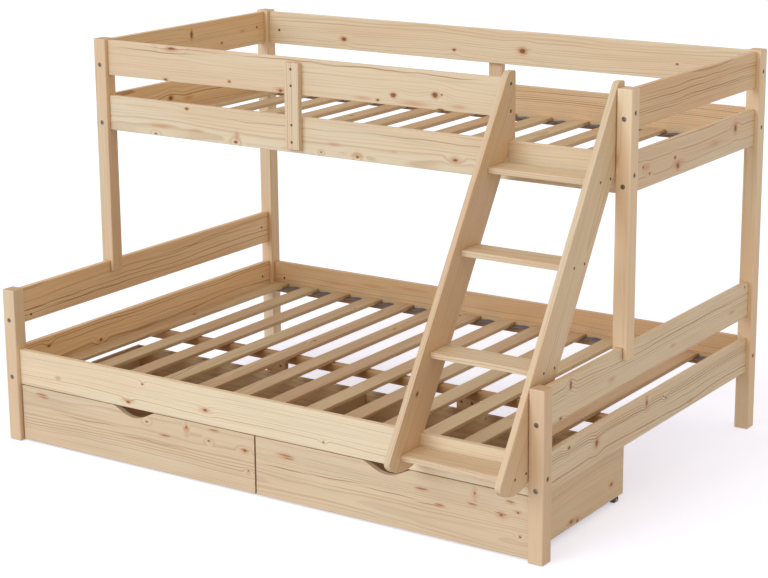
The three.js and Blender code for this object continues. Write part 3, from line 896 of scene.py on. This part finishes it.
BOARD_TONES = {
    "lower_back_rail": (0.00, 0.50),
    "upper_back_rail": (-0.05, 0.10),
    # The drawers' bottoms and backs are darker as painted shade inside the drawers
    "drawer_left_bottom": (-0.28, 0.50),
    "drawer_right_bottom": (-0.28, 0.50),
    "drawer_left_back": (-0.12, 0.30),
    "drawer_right_back": (-0.12, 0.30),
    "guard_front": (0.02, 0.45),
    "upper_front_rail": (0.03, -0.25),
    "lower_front_rail": (0.10, -0.50),
    "guard_back": (0.04, -0.45),
    "drawer_left_front": (-0.05, 0.55),
    "drawer_right_front": (-0.05, 0.55),
    "drawer_right_side_right": (-0.01, 0.75),
    "lower_end_board_right": (-0.02, -0.25),
    "lower_end_top_board_right": (0.01, -0.20),
    "upper_end_board_right": (0.00, 0.05),
    "upper_end_top_board_right": (0.04, -0.30),
    "upper_end_board_left": (0.04, 0.00),
    "upper_end_top_board_left": (0.00, 0.10),
    "lower_end_board_left": (0.07, -0.20),
    "lower_end_top_board_left": (0.04, 0.10),
    "post_front_left": (0.03, 0.10),
    "post_front_right": (0.01, 0.60),
    "post_upper_left": (0.02, 0.10),
    "post_upper_right": (0.15, -0.20),
    "post_back_left": (0.06, 0.20),
    "post_back_right": (0.12, 0.10),
    "ladder_stile_left": (-0.02, 0.35),
    "ladder_stile_right": (0.02, -0.05),
}


# Operators


class BUNKBED_OT_posts(bpy.types.Operator):
    """Dresses the six posts"""

    bl_idname = "bunk_bed.posts"
    bl_label = "Posts"

    def execute(self, context):
        for node in sorted(n for n in SLOTS if n.startswith("post_")):
            dress_board(node, axes=(Z, X, Y), rounding=bed().wood.post_round, kind="post")
        return {"FINISHED"}


class BUNKBED_OT_boards(bpy.types.Operator):
    """Dresses the rails, guards and end boards"""

    bl_idname = "bunk_bed.boards"
    bl_label = "Rails, guards and end boards"

    def execute(self, context):
        words = ("_rail", "_end_board", "_end_top_board", "guard_front", "guard_back")
        for node in sorted(n for n in SLOTS if any(word in n for word in words)):
            close = node in ("lower_front_rail", "lower_back_rail")
            dress_board(node, rounding=bed().wood.front_round if close else None)
        return {"FINISHED"}


class BUNKBED_OT_supports(bpy.types.Operator):
    """Dresses the uprights, the cleats under the slats, the centre beam and its legs"""

    bl_idname = "bunk_bed.supports"
    bl_label = "Uprights, cleats and beam"

    def execute(self, context):
        words = ("guard_support", "cleat", "centre_beam", "beam_leg")
        for node in sorted(n for n in SLOTS if any(word in n for word in words)):
            dress_board(node)
        return {"FINISHED"}


class BUNKBED_OT_ladder(bpy.types.Operator):
    """Dresses the ladder's stiles and treads"""

    bl_idname = "bunk_bed.ladder"
    bl_label = "Ladder"

    lean: FloatProperty(name="Lean", description="Run of a stile per rise", default=0.6329)

    def execute(self, context):
        along = Vector((0.0, self.lean, 1.0)).normalized()
        across = Vector((0.0, -1.0, self.lean)).normalized()
        for side in ("left", "right"):
            node = f"ladder_stile_{side}"
            dress_board(node, axes=(along, across, X), shortest=0.5 * MM, kind="stile")
        for node in sorted(n for n in SLOTS if n.startswith("ladder_tread")):
            dress_board(node)
        return {"FINISHED"}


def slat_starts(low, high):
    """Where each slat of a roll starts along the bed."""
    wood = bed().wood
    pitch = (high.x - low.x - wood.slat_width) / (wood.slat_count - 1)
    return [low.x + i * pitch for i in range(wood.slat_count)]


class BUNKBED_OT_slats(bpy.types.Operator):
    """Lays the slats on each bed, in place of its roll of slats"""

    bl_idname = "bunk_bed.slats"
    bl_label = "Slats"

    def execute(self, context):
        for bunk in ("lower", "upper"):
            roll = f"{bunk}_slat_roll"
            low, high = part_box(roll)
            for i, start in enumerate(slat_starts(low, high)):
                self.add_slat(f"{bunk}_slat_{i + 1}", roll, low, high, start)
        return {"FINISHED"}

    def add_slat(self, name, roll, low, high, start):
        """One slat with rounded edges, resting on the straps."""
        bottom = low.z + bed().hardware.strap_thick
        width = bed().wood.slat_width
        size = Vector((width, high.y - low.y, high.z - bottom))
        centre = Vector((start + width / 2, (low.y + high.y) / 2, (bottom + high.z) / 2))
        shape = bmesh.new()
        add_box(shape, centre, size)
        round_edges(shape, bed().wood.slat_round, shortest=6 * MM)
        mark_grain(shape, (Y, X, Z), board_traits(name, tone_spread=0.05, hue_spread=0.40))
        material = wood_for("slat_wood", name)
        add_piece(shape, name, "frame", material, [roll])


class BUNKBED_OT_straps(bpy.types.Operator):
    """Adds the woven straps that join the slats, slack between one slat and the next"""

    bl_idname = "bunk_bed.straps"
    bl_label = "Straps"

    inset: length_property("Strap inset", "From the slats' ends to the strap", 1.0)
    slack: length_property("Slack", "How far the strap bulges between two slats", 5.0)

    def execute(self, context):
        wide = bed().hardware.strap_wide
        for bunk in ("lower", "upper"):
            roll = f"{bunk}_slat_roll"
            low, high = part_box(roll)
            for edge in ("front", "back"):
                start = low.y + self.inset if edge == "front" else high.y - self.inset - wide
                shape = self.strap(self.path(low, high), start)
                name = f"{bunk}_strap_{edge}"
                add_piece(shape, name, "frame", strap_material(), [roll])
        return {"FINISHED"}

    def path(self, low, high):
        """Points along a strap: flat under each slat, arched between two."""
        width, steps = bed().wood.slat_width, 8
        starts = slat_starts(low, high)
        points = []
        for start, following in zip(starts, starts[1:] + [None]):
            end = start + width
            points += [(start + self.inset, low.z), (end - self.inset, low.z)]
            if following is None:
                continue
            for i in range(1, steps):
                share = i / steps
                lift = self.slack * math.sin(math.pi * share) ** 2
                points.append((end + share * (following - end), low.z + lift))
        return points

    def strap(self, points, start):
        """A strap drawn out from its end along the points."""
        wide, thick = bed().hardware.strap_wide, bed().hardware.strap_thick
        shape = bmesh.new()
        x, z = points[0]
        corners = [(start, z), (start + wide, z), (start + wide, z + thick), (start, z + thick)]
        end = shape.faces.new([shape.verts.new((x, *corner)) for corner in corners])
        for last, point in zip(points, points[1:]):
            grown = bmesh.ops.extrude_face_region(shape, geom=[end])["geom"]
            end = next(g for g in grown if isinstance(g, bmesh.types.BMFace))
            moved = [g for g in grown if isinstance(g, bmesh.types.BMVert)]
            step = Vector((point[0] - last[0], 0.0, point[1] - last[1]))
            bmesh.ops.translate(shape, vec=step, verts=moved)
        bmesh.ops.recalc_face_normals(shape, faces=shape.faces)
        return shape


class BUNKBED_OT_drawers(bpy.types.Operator):
    """Dresses the fronts, sides, backs and bottoms of both drawers"""

    bl_idname = "bunk_bed.drawers"
    bl_label = "Drawers"

    def execute(self, context):
        parts = sorted(n for n in SLOTS if n.startswith("drawer_") and "wheel" not in n)
        for node in parts:
            dress_board(node, shortest=0.5 * MM, rounding=bed().wood.front_round)
        return {"FINISHED"}


# A wheel's node, its drawer, the drawer's side board next to it, LEFT or RIGHT, and its centre
Castor = namedtuple("Castor", "node drawer board side centre")


class BUNKBED_OT_castors(bpy.types.Operator):
    """Adds the eight castors: wheels, housings, guards with rivets, and axles"""

    bl_idname = "bunk_bed.castors"
    bl_label = "Castors"

    wheel_width: length_property("Wheel width", "Width of a wheel's tread", 16.0)
    wheel_radius: length_property("Wheel radius", "Radius of a wheel", 20.0)
    axle_radius: length_property("Axle radius", "Radius of an axle", 3.0)
    gap: length_property("Side gap", "From a drawer's side to its wheel", 3.0)
    cheek_gap: length_property("Cheek gap", "From a wheel to the cheek beside it", 0.6)
    cheek_thick: length_property("Cheek thickness", "Thickness of a cheek", 1.6)

    def execute(self, context):
        for node in sorted(n for n in SLOTS if "wheel" in n):
            drawer = node.split("_wheel")[0]
            side, word = SIDES[0] if node.endswith("_left") else SIDES[1]
            board = f"{drawer}_side_{word}"
            across = end_face(board, -side) - side * (self.gap + self.wheel_width / 2)
            centre = Vector((across, middle(node).y, self.wheel_radius))
            castor = Castor(node, drawer, board, side, centre)
            self.add_wheel(castor)
            self.add_housing(castor)
            self.add_guard(castor)
            self.add_rivet(castor)
            self.add_axle(castor)
        return {"FINISHED"}

    def add_wheel(self, castor):
        """A wheel turned from one profile: tread, rim, web and hub."""
        half, radius, bore = self.wheel_width / 2, self.wheel_radius, self.axle_radius + 0.3 * MM
        hub, web, rim = 6.5 * MM, 3.0 * MM, 15.0 * MM
        crown, shoulder = 0.4 * MM, 2.0 * MM
        recess, edge, slope, bevel = 0.6 * MM, 0.2 * MM, 1.2 * MM, 1.0 * MM
        half_profile = [
            (0.0, radius), (half - shoulder, radius - crown), (half - recess, radius - shoulder),
            (half, radius - 2 * shoulder), (half - recess, rim), (web, rim - slope),
            (web, hub + slope), (half - recess, hub), (half - edge, hub - bevel),
            (half - edge, bore),
        ]
        profile = half_profile + [(-x, r) for x, r in reversed(half_profile[1:])]
        shape = bmesh.new()
        verts = [shape.verts.new(castor.centre + Vector((x, 0.0, r))) for x, r in profile]
        edges = [shape.edges.new(pair) for pair in zip(verts, verts[1:] + verts[:1])]
        bmesh.ops.spin(
            shape, geom=verts + edges, cent=castor.centre, axis=X, dvec=Vector(),
            angle=2 * math.pi, steps=32, use_merge=True, use_duplicate=False,
        )
        bmesh.ops.remove_doubles(shape, verts=shape.verts, dist=0.01 * MM)
        bmesh.ops.recalc_face_normals(shape, faces=shape.faces)
        for face in shape.faces:
            face.smooth = True
        material = plastic_material("castor_wheel", bed().hardware.plastic, 0.45)
        name, body = f"{castor.node}_wheel", BODIES[castor.node]
        add_piece(shape, name, body, material, [castor.node])

    def housing_material(self):
        """Plastic of the housings and guards."""
        return plastic_material("castor_housing", bed().hardware.plastic, 0.5)

    def add_housing(self, castor):
        """Two cheeks beside the wheel, and a plate with a flange under the drawer's bottom."""
        flange, plate_depth, plate_thick = 18 * MM, 40 * MM, 2 * MM
        half_cheek = [(17, 44), (17, 39), (7, 16), (3, 13)]
        outline = [(-y, z) for y, z in half_cheek[:1]] + half_cheek
        outline += [(-y, z) for y, z in reversed(half_cheek[1:])]
        centre = castor.centre
        inside = self.wheel_width / 2 + self.cheek_gap
        shape = bmesh.new()
        for direction in (LEFT, RIGHT):
            x = centre.x + direction * inside
            verts = [shape.verts.new((x, centre.y + y * MM, z * MM)) for y, z in outline]
            sheet = shape.faces.new(verts)
            grown = bmesh.ops.extrude_face_region(shape, geom=[sheet])["geom"]
            moved = [v for v in grown if isinstance(v, bmesh.types.BMVert)]
            bmesh.ops.translate(shape, vec=X * direction * self.cheek_thick, verts=moved)
        reach = inside + self.cheek_thick
        size = Vector((2 * reach + flange, plate_depth, plate_thick))
        plate_x = centre.x - castor.side * (size.x / 2 - reach)
        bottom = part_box(f"{castor.drawer}_bottom")[0].z
        add_box(shape, Vector((plate_x, centre.y, bottom - size.z / 2)), size)
        bmesh.ops.recalc_face_normals(shape, faces=shape.faces)
        round_edges(shape, 0.5 * MM, shortest=1.5 * MM)
        name = f"{castor.node}_housing"
        add_piece(shape, name, castor.drawer, self.housing_material())

    def guard_heights(self, castor):
        """How low and how high the guard under a drawer's side reaches."""
        ground_gap, board_gap = 1.5 * MM, 0.6 * MM
        return ground_gap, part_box(castor.board)[0].z - board_gap

    def add_guard(self, castor):
        """A rounded block outside the wheel, under the drawer's side."""
        depth = 30 * MM
        low, high = self.guard_heights(castor)
        outer = end_face(castor.board, castor.side)
        inner = castor.centre.x + castor.side * (self.wheel_width / 2 + self.cheek_gap)
        size = Vector((abs(outer - inner), depth, high - low))
        shape = bmesh.new()
        add_box(shape, Vector(((outer + inner) / 2, castor.centre.y, (low + high) / 2)), size)
        bmesh.ops.recalc_face_normals(shape, faces=shape.faces)
        round_edges(shape, 4 * MM, shortest=1.5 * MM)
        name = f"{castor.node}_guard"
        add_piece(shape, name, castor.drawer, self.housing_material())

    def add_rivet(self, castor):
        """A bright rivet in the guard's outer face."""
        radius, length, sunk = 2.6 * MM, 1.0 * MM, 0.1 * MM
        low, high = self.guard_heights(castor)
        outer = end_face(castor.board, castor.side)
        place = Vector((outer - castor.side * sunk, castor.centre.y, (low + high) / 2))
        shape = bmesh.new()
        add_rod(shape, place, radius, length)
        round_edges(shape, 0.35 * MM, shortest=0.5 * MM)
        bright = steel_material("rivet_steel", bed().hardware.rivet_steel, 0.3)
        add_piece(shape, f"{castor.node}_rivet", castor.drawer, bright)

    def add_axle(self, castor):
        """An axle through both cheeks, with a flat head at each end."""
        head_thick, head_brim = 0.8 * MM, 1.6 * MM
        reach = self.wheel_width / 2 + self.cheek_gap + self.cheek_thick
        shape = bmesh.new()
        add_rod(shape, castor.centre, self.axle_radius, (reach + head_thick) * 2)
        for direction in (LEFT, RIGHT):
            place = castor.centre + X * direction * (reach + head_thick / 2)
            add_rod(shape, place, self.axle_radius + head_brim, head_thick)
        round_edges(shape, 0.3 * MM, shortest=0.5 * MM)
        material = steel_material("axle_steel", bed().hardware.steel, 0.35)
        add_piece(shape, f"{castor.node}_axle", castor.drawer, material)


def bolt_head(radius, height):
    """A round head with a hexagon socket, looking along +Z, with its top at the origin."""
    rim_share, wall_share, socket_share, chamfer_share = 0.16, 0.30, 0.70, 0.08
    near_rim, near_bottom = radius * 0.95, -height * 0.9
    shape = bmesh.new()
    bmesh.ops.create_circle(shape, cap_ends=True, segments=24, radius=radius)
    top = shape.faces[:][0]
    if top.normal.z < 0:
        top.normal_flip()
    for share in (rim_share, wall_share):
        bmesh.ops.inset_region(
            shape, faces=[top], thickness=radius * share, depth=0.0, use_boundary=True
        )
    for vert in top.verts:
        sixth = (math.atan2(vert.co.y, vert.co.x) % (math.pi / 3)) - math.pi / 6
        flat = math.cos(math.pi / 6) / math.cos(sixth)
        vert.co.x *= flat
        vert.co.y *= flat
    floor = bmesh.ops.extrude_face_region(shape, geom=[top])["geom"]
    sunk = [v for v in floor if isinstance(v, bmesh.types.BMVert)]
    bmesh.ops.translate(shape, vec=-Z * height * socket_share, verts=sunk)
    bmesh.ops.delete(shape, geom=[f for f in [top] if f.is_valid], context="FACES_ONLY")
    outer = [e for e in shape.edges if e.is_boundary and e.verts[0].co.length > near_rim]
    skirt = bmesh.ops.extrude_edge_only(shape, edges=outer)["geom"]
    lowered = [v for v in skirt if isinstance(v, bmesh.types.BMVert)]
    bmesh.ops.translate(shape, vec=-Z * height, verts=lowered)
    bottom = [e for e in shape.edges if e.is_boundary and e.verts[0].co.z < near_bottom]
    bmesh.ops.contextual_create(shape, geom=bottom)
    for vert in shape.verts:
        if vert.co.z > -0.01 * MM and vert.co.xy.length > near_rim:
            vert.co.z -= radius * chamfer_share
    bmesh.ops.recalc_face_normals(shape, faces=shape.faces)
    return shape


class BUNKBED_OT_bolts(bpy.types.Operator):
    """Sets a bolt with a hexagon socket into each seat of the posts"""

    bl_idname = "bunk_bed.bolts"
    bl_label = "Bolts"

    def execute(self, context):
        hardware = bed().hardware
        sunk = [
            facing(spot - direction * hardware.bolt_sink, direction)
            for spot, direction in bolt_places()
        ]
        shape = scatter(bolt_head(hardware.bolt_radius, 3.0 * MM), sunk)
        material = steel_material("bolt_steel", hardware.steel, 0.3)
        add_piece(shape, "bed_bolts", "frame", material)
        return {"FINISHED"}


class BUNKBED_OT_nuts(bpy.types.Operator):
    """Sets a slotted barrel nut into each hole on the boards' inside"""

    bl_idname = "bunk_bed.nuts"
    bl_label = "Barrel nuts"

    inset: length_property("Nut inset", "From a board's end to its nut", 45.0)

    def execute(self, context):
        places = []
        back_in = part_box("lower_back_rail")[0].y
        lower_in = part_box("lower_front_rail")[1].y
        upper_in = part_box("upper_front_rail")[1].y
        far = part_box("lower_front_rail")[1].x - self.inset
        for side, word in SIDES:
            places.append(((side * far, lower_in, LOWER_RAIL_BOLT * MM), Y))
            places.append(((side * far, upper_in, UPPER_RAIL_BOLT * MM), Y))
            if side == LEFT:
                places.append(((side * far, upper_in, GUARD_BOLT * MM), Y))
            for height in (LOWER_RAIL_BOLT, UPPER_RAIL_BOLT, GUARD_BOLT):
                places.append(((side * far, back_in, height * MM), -Y))
            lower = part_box(f"lower_end_board_{word}")
            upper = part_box(f"upper_end_board_{word}")
            inside = end_face(f"lower_end_board_{word}", -side)
            back_y = lower[1].y - self.inset
            for height in FRONT_POST_BOLTS:
                places.append(((inside, lower[0].y + self.inset, height * MM), -X * side))
            for height in UPPER_POST_BOLTS:
                places.append(((inside, upper[0].y + self.inset, height * MM), -X * side))
            for height in BACK_POST_BOLTS:
                places.append(((inside, back_y, height * MM), -X * side))
        hardware = bed().hardware
        sunk = [
            facing(Vector(spot) - direction * hardware.nut_sink, direction)
            for spot, direction in places
        ]
        shape = scatter(self.nut(hardware.nut_radius), sunk)
        # Near-black nuts: painted shade in the holes round them
        material = steel_material("nut_steel", hardware.screw_steel, 0.35)
        add_piece(shape, "barrel_nuts", "frame", material)
        return {"FINISHED"}

    def nut(self, radius):
        """A barrel nut's slotted end, looking along +Z, with its top at the origin."""
        length, half_slot, slot_depth = 4 * MM, 0.6 * MM, 1.5 * MM
        shape = bmesh.new()
        bmesh.ops.create_cone(
            shape, cap_ends=True, segments=24, radius1=radius, radius2=radius,
            depth=length, matrix=Matrix.Translation(-Z * length / 2),
        )
        for offset in (-half_slot, half_slot):
            geometry = shape.verts[:] + shape.edges[:] + shape.faces[:]
            bmesh.ops.bisect_plane(shape, geom=geometry, plane_co=Y * offset, plane_no=Y)
        top = [
            f for f in shape.faces
            if f.normal.z > 0.9 and abs(f.calc_center_median().y) < half_slot
        ]
        sunk = bmesh.ops.extrude_face_region(shape, geom=top)["geom"]
        moved = [v for v in sunk if isinstance(v, bmesh.types.BMVert)]
        bmesh.ops.translate(shape, vec=-Z * slot_depth, verts=moved)
        bmesh.ops.delete(shape, geom=[f for f in top if f.is_valid], context="FACES_ONLY")
        bmesh.ops.recalc_face_normals(shape, faces=shape.faces)
        return shape


class BUNKBED_OT_screws(bpy.types.Operator):
    """Adds the screws of the treads, the guard's end, the uprights and the beam's legs"""

    bl_idname = "bunk_bed.screws"
    bl_label = "Screws"

    proud: length_property("Proud", "How far a head stands over the wood", 0.15)
    large: FloatProperty(
        name="Large", description="Size of the guard's screws beside the others", default=1.25
    )

    def execute(self, context):
        hardware = bed().hardware
        places = []
        for side, word in SIDES:
            face = end_face(f"ladder_stile_{word}", side)
            for tread in (1, 2, 3, 4):
                low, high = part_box(f"ladder_tread_{tread}")
                for share in TREAD_SCREW_SHARES:
                    y = low.y + share * (high.y - low.y)
                    places.append(((face, y, (low.z + high.z) / 2), X * side))
        guard_y = middle("guard_front").y
        inside = end_face("ladder_stile_left", RIGHT) + self.proud
        large = [
            facing((inside, guard_y, height * MM), X) @ Matrix.Scale(self.large, 4)
            for height in GUARD_END_SCREWS
        ]
        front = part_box("guard_support_front")
        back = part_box("guard_support_back")
        front_inset, back_inset, drop = 27 * MM, 28 * MM, 14 * MM
        for height in UPRIGHT_SCREWS:
            places.append(((front[0].x + front_inset, front[0].y, height * MM), -Y))
            places.append(((back[0].x + back_inset, back[1].y - self.proud, height * MM), Y))
        for leg in ("left", "right"):
            low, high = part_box(f"beam_leg_{leg}")
            for share in LEG_SCREW_SHARES:
                x = low.x + share * (high.x - low.x)
                places.append(((x, low.y, high.z - drop), -Y))
        raised = [
            facing(Vector(spot) + direction * self.proud, direction) for spot, direction in places
        ]
        shape = scatter(self.screw(hardware.screw_radius), raised + large)
        material = steel_material("screw_steel", hardware.screw_steel, 0.4)
        add_piece(shape, "bed_screws", "frame", material)
        return {"FINISHED"}

    def screw(self, radius):
        """A countersunk head with a cross recess, looking along +Z, with its top at the origin."""
        rim_share, notch_share, recess_depth, head_depth = 0.30, 0.35, 1.2 * MM, 2.0 * MM
        shape = bmesh.new()
        bmesh.ops.create_circle(shape, cap_ends=True, segments=16, radius=radius)
        top = shape.faces[:][0]
        if top.normal.z < 0:
            top.normal_flip()
        bmesh.ops.inset_region(
            shape, faces=[top], thickness=radius * rim_share, depth=0.0, use_boundary=True
        )
        for vert in top.verts:
            angle = math.atan2(vert.co.y, vert.co.x) % (math.pi / 2)
            nearness = abs(angle - math.pi / 4) / (math.pi / 4)
            reach = notch_share + (1.0 - notch_share) * nearness ** 3
            vert.co.x *= reach
            vert.co.y *= reach
        sunk = bmesh.ops.extrude_face_region(shape, geom=[top])["geom"]
        moved = [v for v in sunk if isinstance(v, bmesh.types.BMVert)]
        bmesh.ops.translate(shape, vec=-Z * recess_depth, verts=moved)
        bmesh.ops.delete(shape, geom=[f for f in [top] if f.is_valid], context="FACES_ONLY")
        outer = [e for e in shape.edges if e.is_boundary]
        skirt = bmesh.ops.extrude_edge_only(shape, edges=outer)["geom"]
        lowered = [v for v in skirt if isinstance(v, bmesh.types.BMVert)]
        bmesh.ops.translate(shape, vec=-Z * head_depth, verts=lowered)
        bottom = [e for e in shape.edges if e.is_boundary]
        bmesh.ops.contextual_create(shape, geom=bottom)
        bmesh.ops.recalc_face_normals(shape, faces=shape.faces)
        return shape


class BUNKBED_OT_stage(bpy.types.Operator):
    """Adds the floor, the soft light and the camera"""

    bl_idname = "bunk_bed.stage"
    bl_label = "Floor, light and camera"

    def execute(self, context):
        self.add_floor()
        self.add_sky(context)
        self.add_key()
        self.add_camera(context)
        context.scene.view_settings.view_transform = "Standard"
        return {"FINISHED"}

    def seen(self, wire):
        """One for rays from the camera, from gloss and through glass, and zero for others."""
        path = wire.add("ShaderNodeLightPath").outputs
        seen = wire.maths("MAXIMUM", path["Is Camera Ray"], path["Is Glossy Ray"])
        return wire.maths("MAXIMUM", seen, path["Is Transmission Ray"])

    def add_floor(self):
        """A wide white floor that keeps the bed's shadow."""
        half_width, below = 30.0, 0.3 * MM
        white, glow_white = (0.76, 0.83, 0.96, 1.0), (0.93, 0.91, 1.0, 1.0)
        shape = bmesh.new()
        bmesh.ops.create_grid(
            shape, x_segments=1, y_segments=1, size=half_width,
            matrix=Matrix.Translation(-Z * below),
        )
        mesh = bpy.data.meshes.new("floor")
        shape.to_mesh(mesh)
        shape.free()
        floor = bpy.data.objects.new("floor", mesh)
        bpy.context.scene.collection.objects.link(floor)
        material = bpy.data.materials.new("floor_white")
        material.use_nodes = True
        material.node_tree.nodes.clear()
        wire = Wiring(material.node_tree)
        matt = wire.add("ShaderNodeBsdfDiffuse", {"Color": white})
        level = wire.maths("MULTIPLY", self.seen(wire), bed().stage.floor_glow)
        glow = wire.add("ShaderNodeEmission", {"Color": glow_white, "Strength": level})
        both = wire.add("ShaderNodeAddShader", {0: matt.outputs[0], 1: glow.outputs[0]})
        wire.add("ShaderNodeOutputMaterial", {"Surface": both.outputs[0]})
        mesh.materials.append(material)

    def add_sky(self, context):
        """Soft light from all round that looks white to the camera."""
        world = bpy.data.worlds.new("studio")
        world.use_nodes = True
        world.node_tree.nodes.clear()
        wire = Wiring(world.node_tree)
        sky = bed().stage.sky
        level = wire.maths("MULTIPLY_ADD", self.seen(wire), 1.0 - sky, sky)
        white = (1.0, 1.0, 1.0, 1.0)
        colour = wire.blend(self.seen(wire), rgba(bed().stage.sky_colour), white)
        soft = wire.add("ShaderNodeBackground", {"Color": colour, "Strength": level})
        wire.add("ShaderNodeOutputWorld", {"Surface": soft.outputs[0]})
        context.scene.world = world

    def add_key(self):
        """A wide soft lamp in front of the bed, to its left and above it."""
        lamp = bpy.data.lights.new("key", "SUN")
        lamp.energy = bed().stage.key_power
        lamp.color = bed().stage.key_colour
        lamp.angle = math.radians(40.0)
        key = bpy.data.objects.new("key", lamp)
        bpy.context.scene.collection.objects.link(key)
        stand, target = Vector((-2.0, -6.0, 3.6)), Vector((0.0, 0.0, 0.6))
        key.location = stand
        key.rotation_euler = (target - stand).to_track_quat("-Z", "Y").to_euler()

    def add_camera(self, context):
        """The camera at the photograph's viewing angle."""
        view = bpy.data.cameras.new("camera")
        view.sensor_width = 36.0
        view.lens = bed().stage.lens
        view.shift_x, view.shift_y = -0.0404, -0.0508
        view.clip_end = 100.0
        camera = bpy.data.objects.new("camera", view)
        bpy.context.scene.collection.objects.link(camera)
        place = Vector((3.6601, -5.3537, 2.2596))
        yaw, pitch, roll = (math.radians(angle) for angle in (33.05886, 13.88785, -0.23919))
        turn = (
            Matrix.Rotation(yaw, 4, "Z")
            @ Matrix.Rotation(math.pi / 2 - pitch, 4, "X")
            @ Matrix.Rotation(roll, 4, "Z")
        )
        camera.matrix_world = Matrix.Translation(place) @ turn
        context.scene.camera = camera


STEPS = (
    BUNKBED_OT_posts, BUNKBED_OT_boards, BUNKBED_OT_supports, BUNKBED_OT_ladder,
    BUNKBED_OT_slats, BUNKBED_OT_straps, BUNKBED_OT_drawers, BUNKBED_OT_castors,
    BUNKBED_OT_bolts, BUNKBED_OT_nuts, BUNKBED_OT_screws, BUNKBED_OT_stage,
)


class BUNKBED_PT_panel(bpy.types.Panel):
    """Lists the steps and the settings of the bed."""

    bl_idname = "BUNKBED_PT_panel"
    bl_label = "Bunk Bed"
    bl_space_type = "VIEW_3D"
    bl_region_type = "UI"
    bl_category = "Bunk Bed"

    def draw(self, context):
        settings = context.scene.bunk_bed
        for group in (settings.wood, settings.hardware, settings.stage):
            box = self.layout.box()
            for name in group.__annotations__:
                box.prop(group, name)
        for step in STEPS:
            self.layout.operator(step.bl_idname)


CLASSES = (
    WoodSettings, HardwareSettings, StageSettings, BunkBedSettings, *STEPS, BUNKBED_PT_panel,
)


def register():
    """Registers the classes and adds the settings to the scene."""
    for entry in CLASSES:
        bpy.utils.register_class(entry)
    bpy.types.Scene.bunk_bed = PointerProperty(type=BunkBedSettings)


def unregister():
    """Takes the settings and the classes away again."""
    del bpy.types.Scene.bunk_bed
    for entry in reversed(CLASSES):
        bpy.utils.unregister_class(entry)


def main():
    """Builds the bed step by step."""
    register()
    for step in STEPS:
        group, name = step.bl_idname.split(".")
        getattr(getattr(bpy.ops, group), name)()


if __name__ == "__main__":
    main()
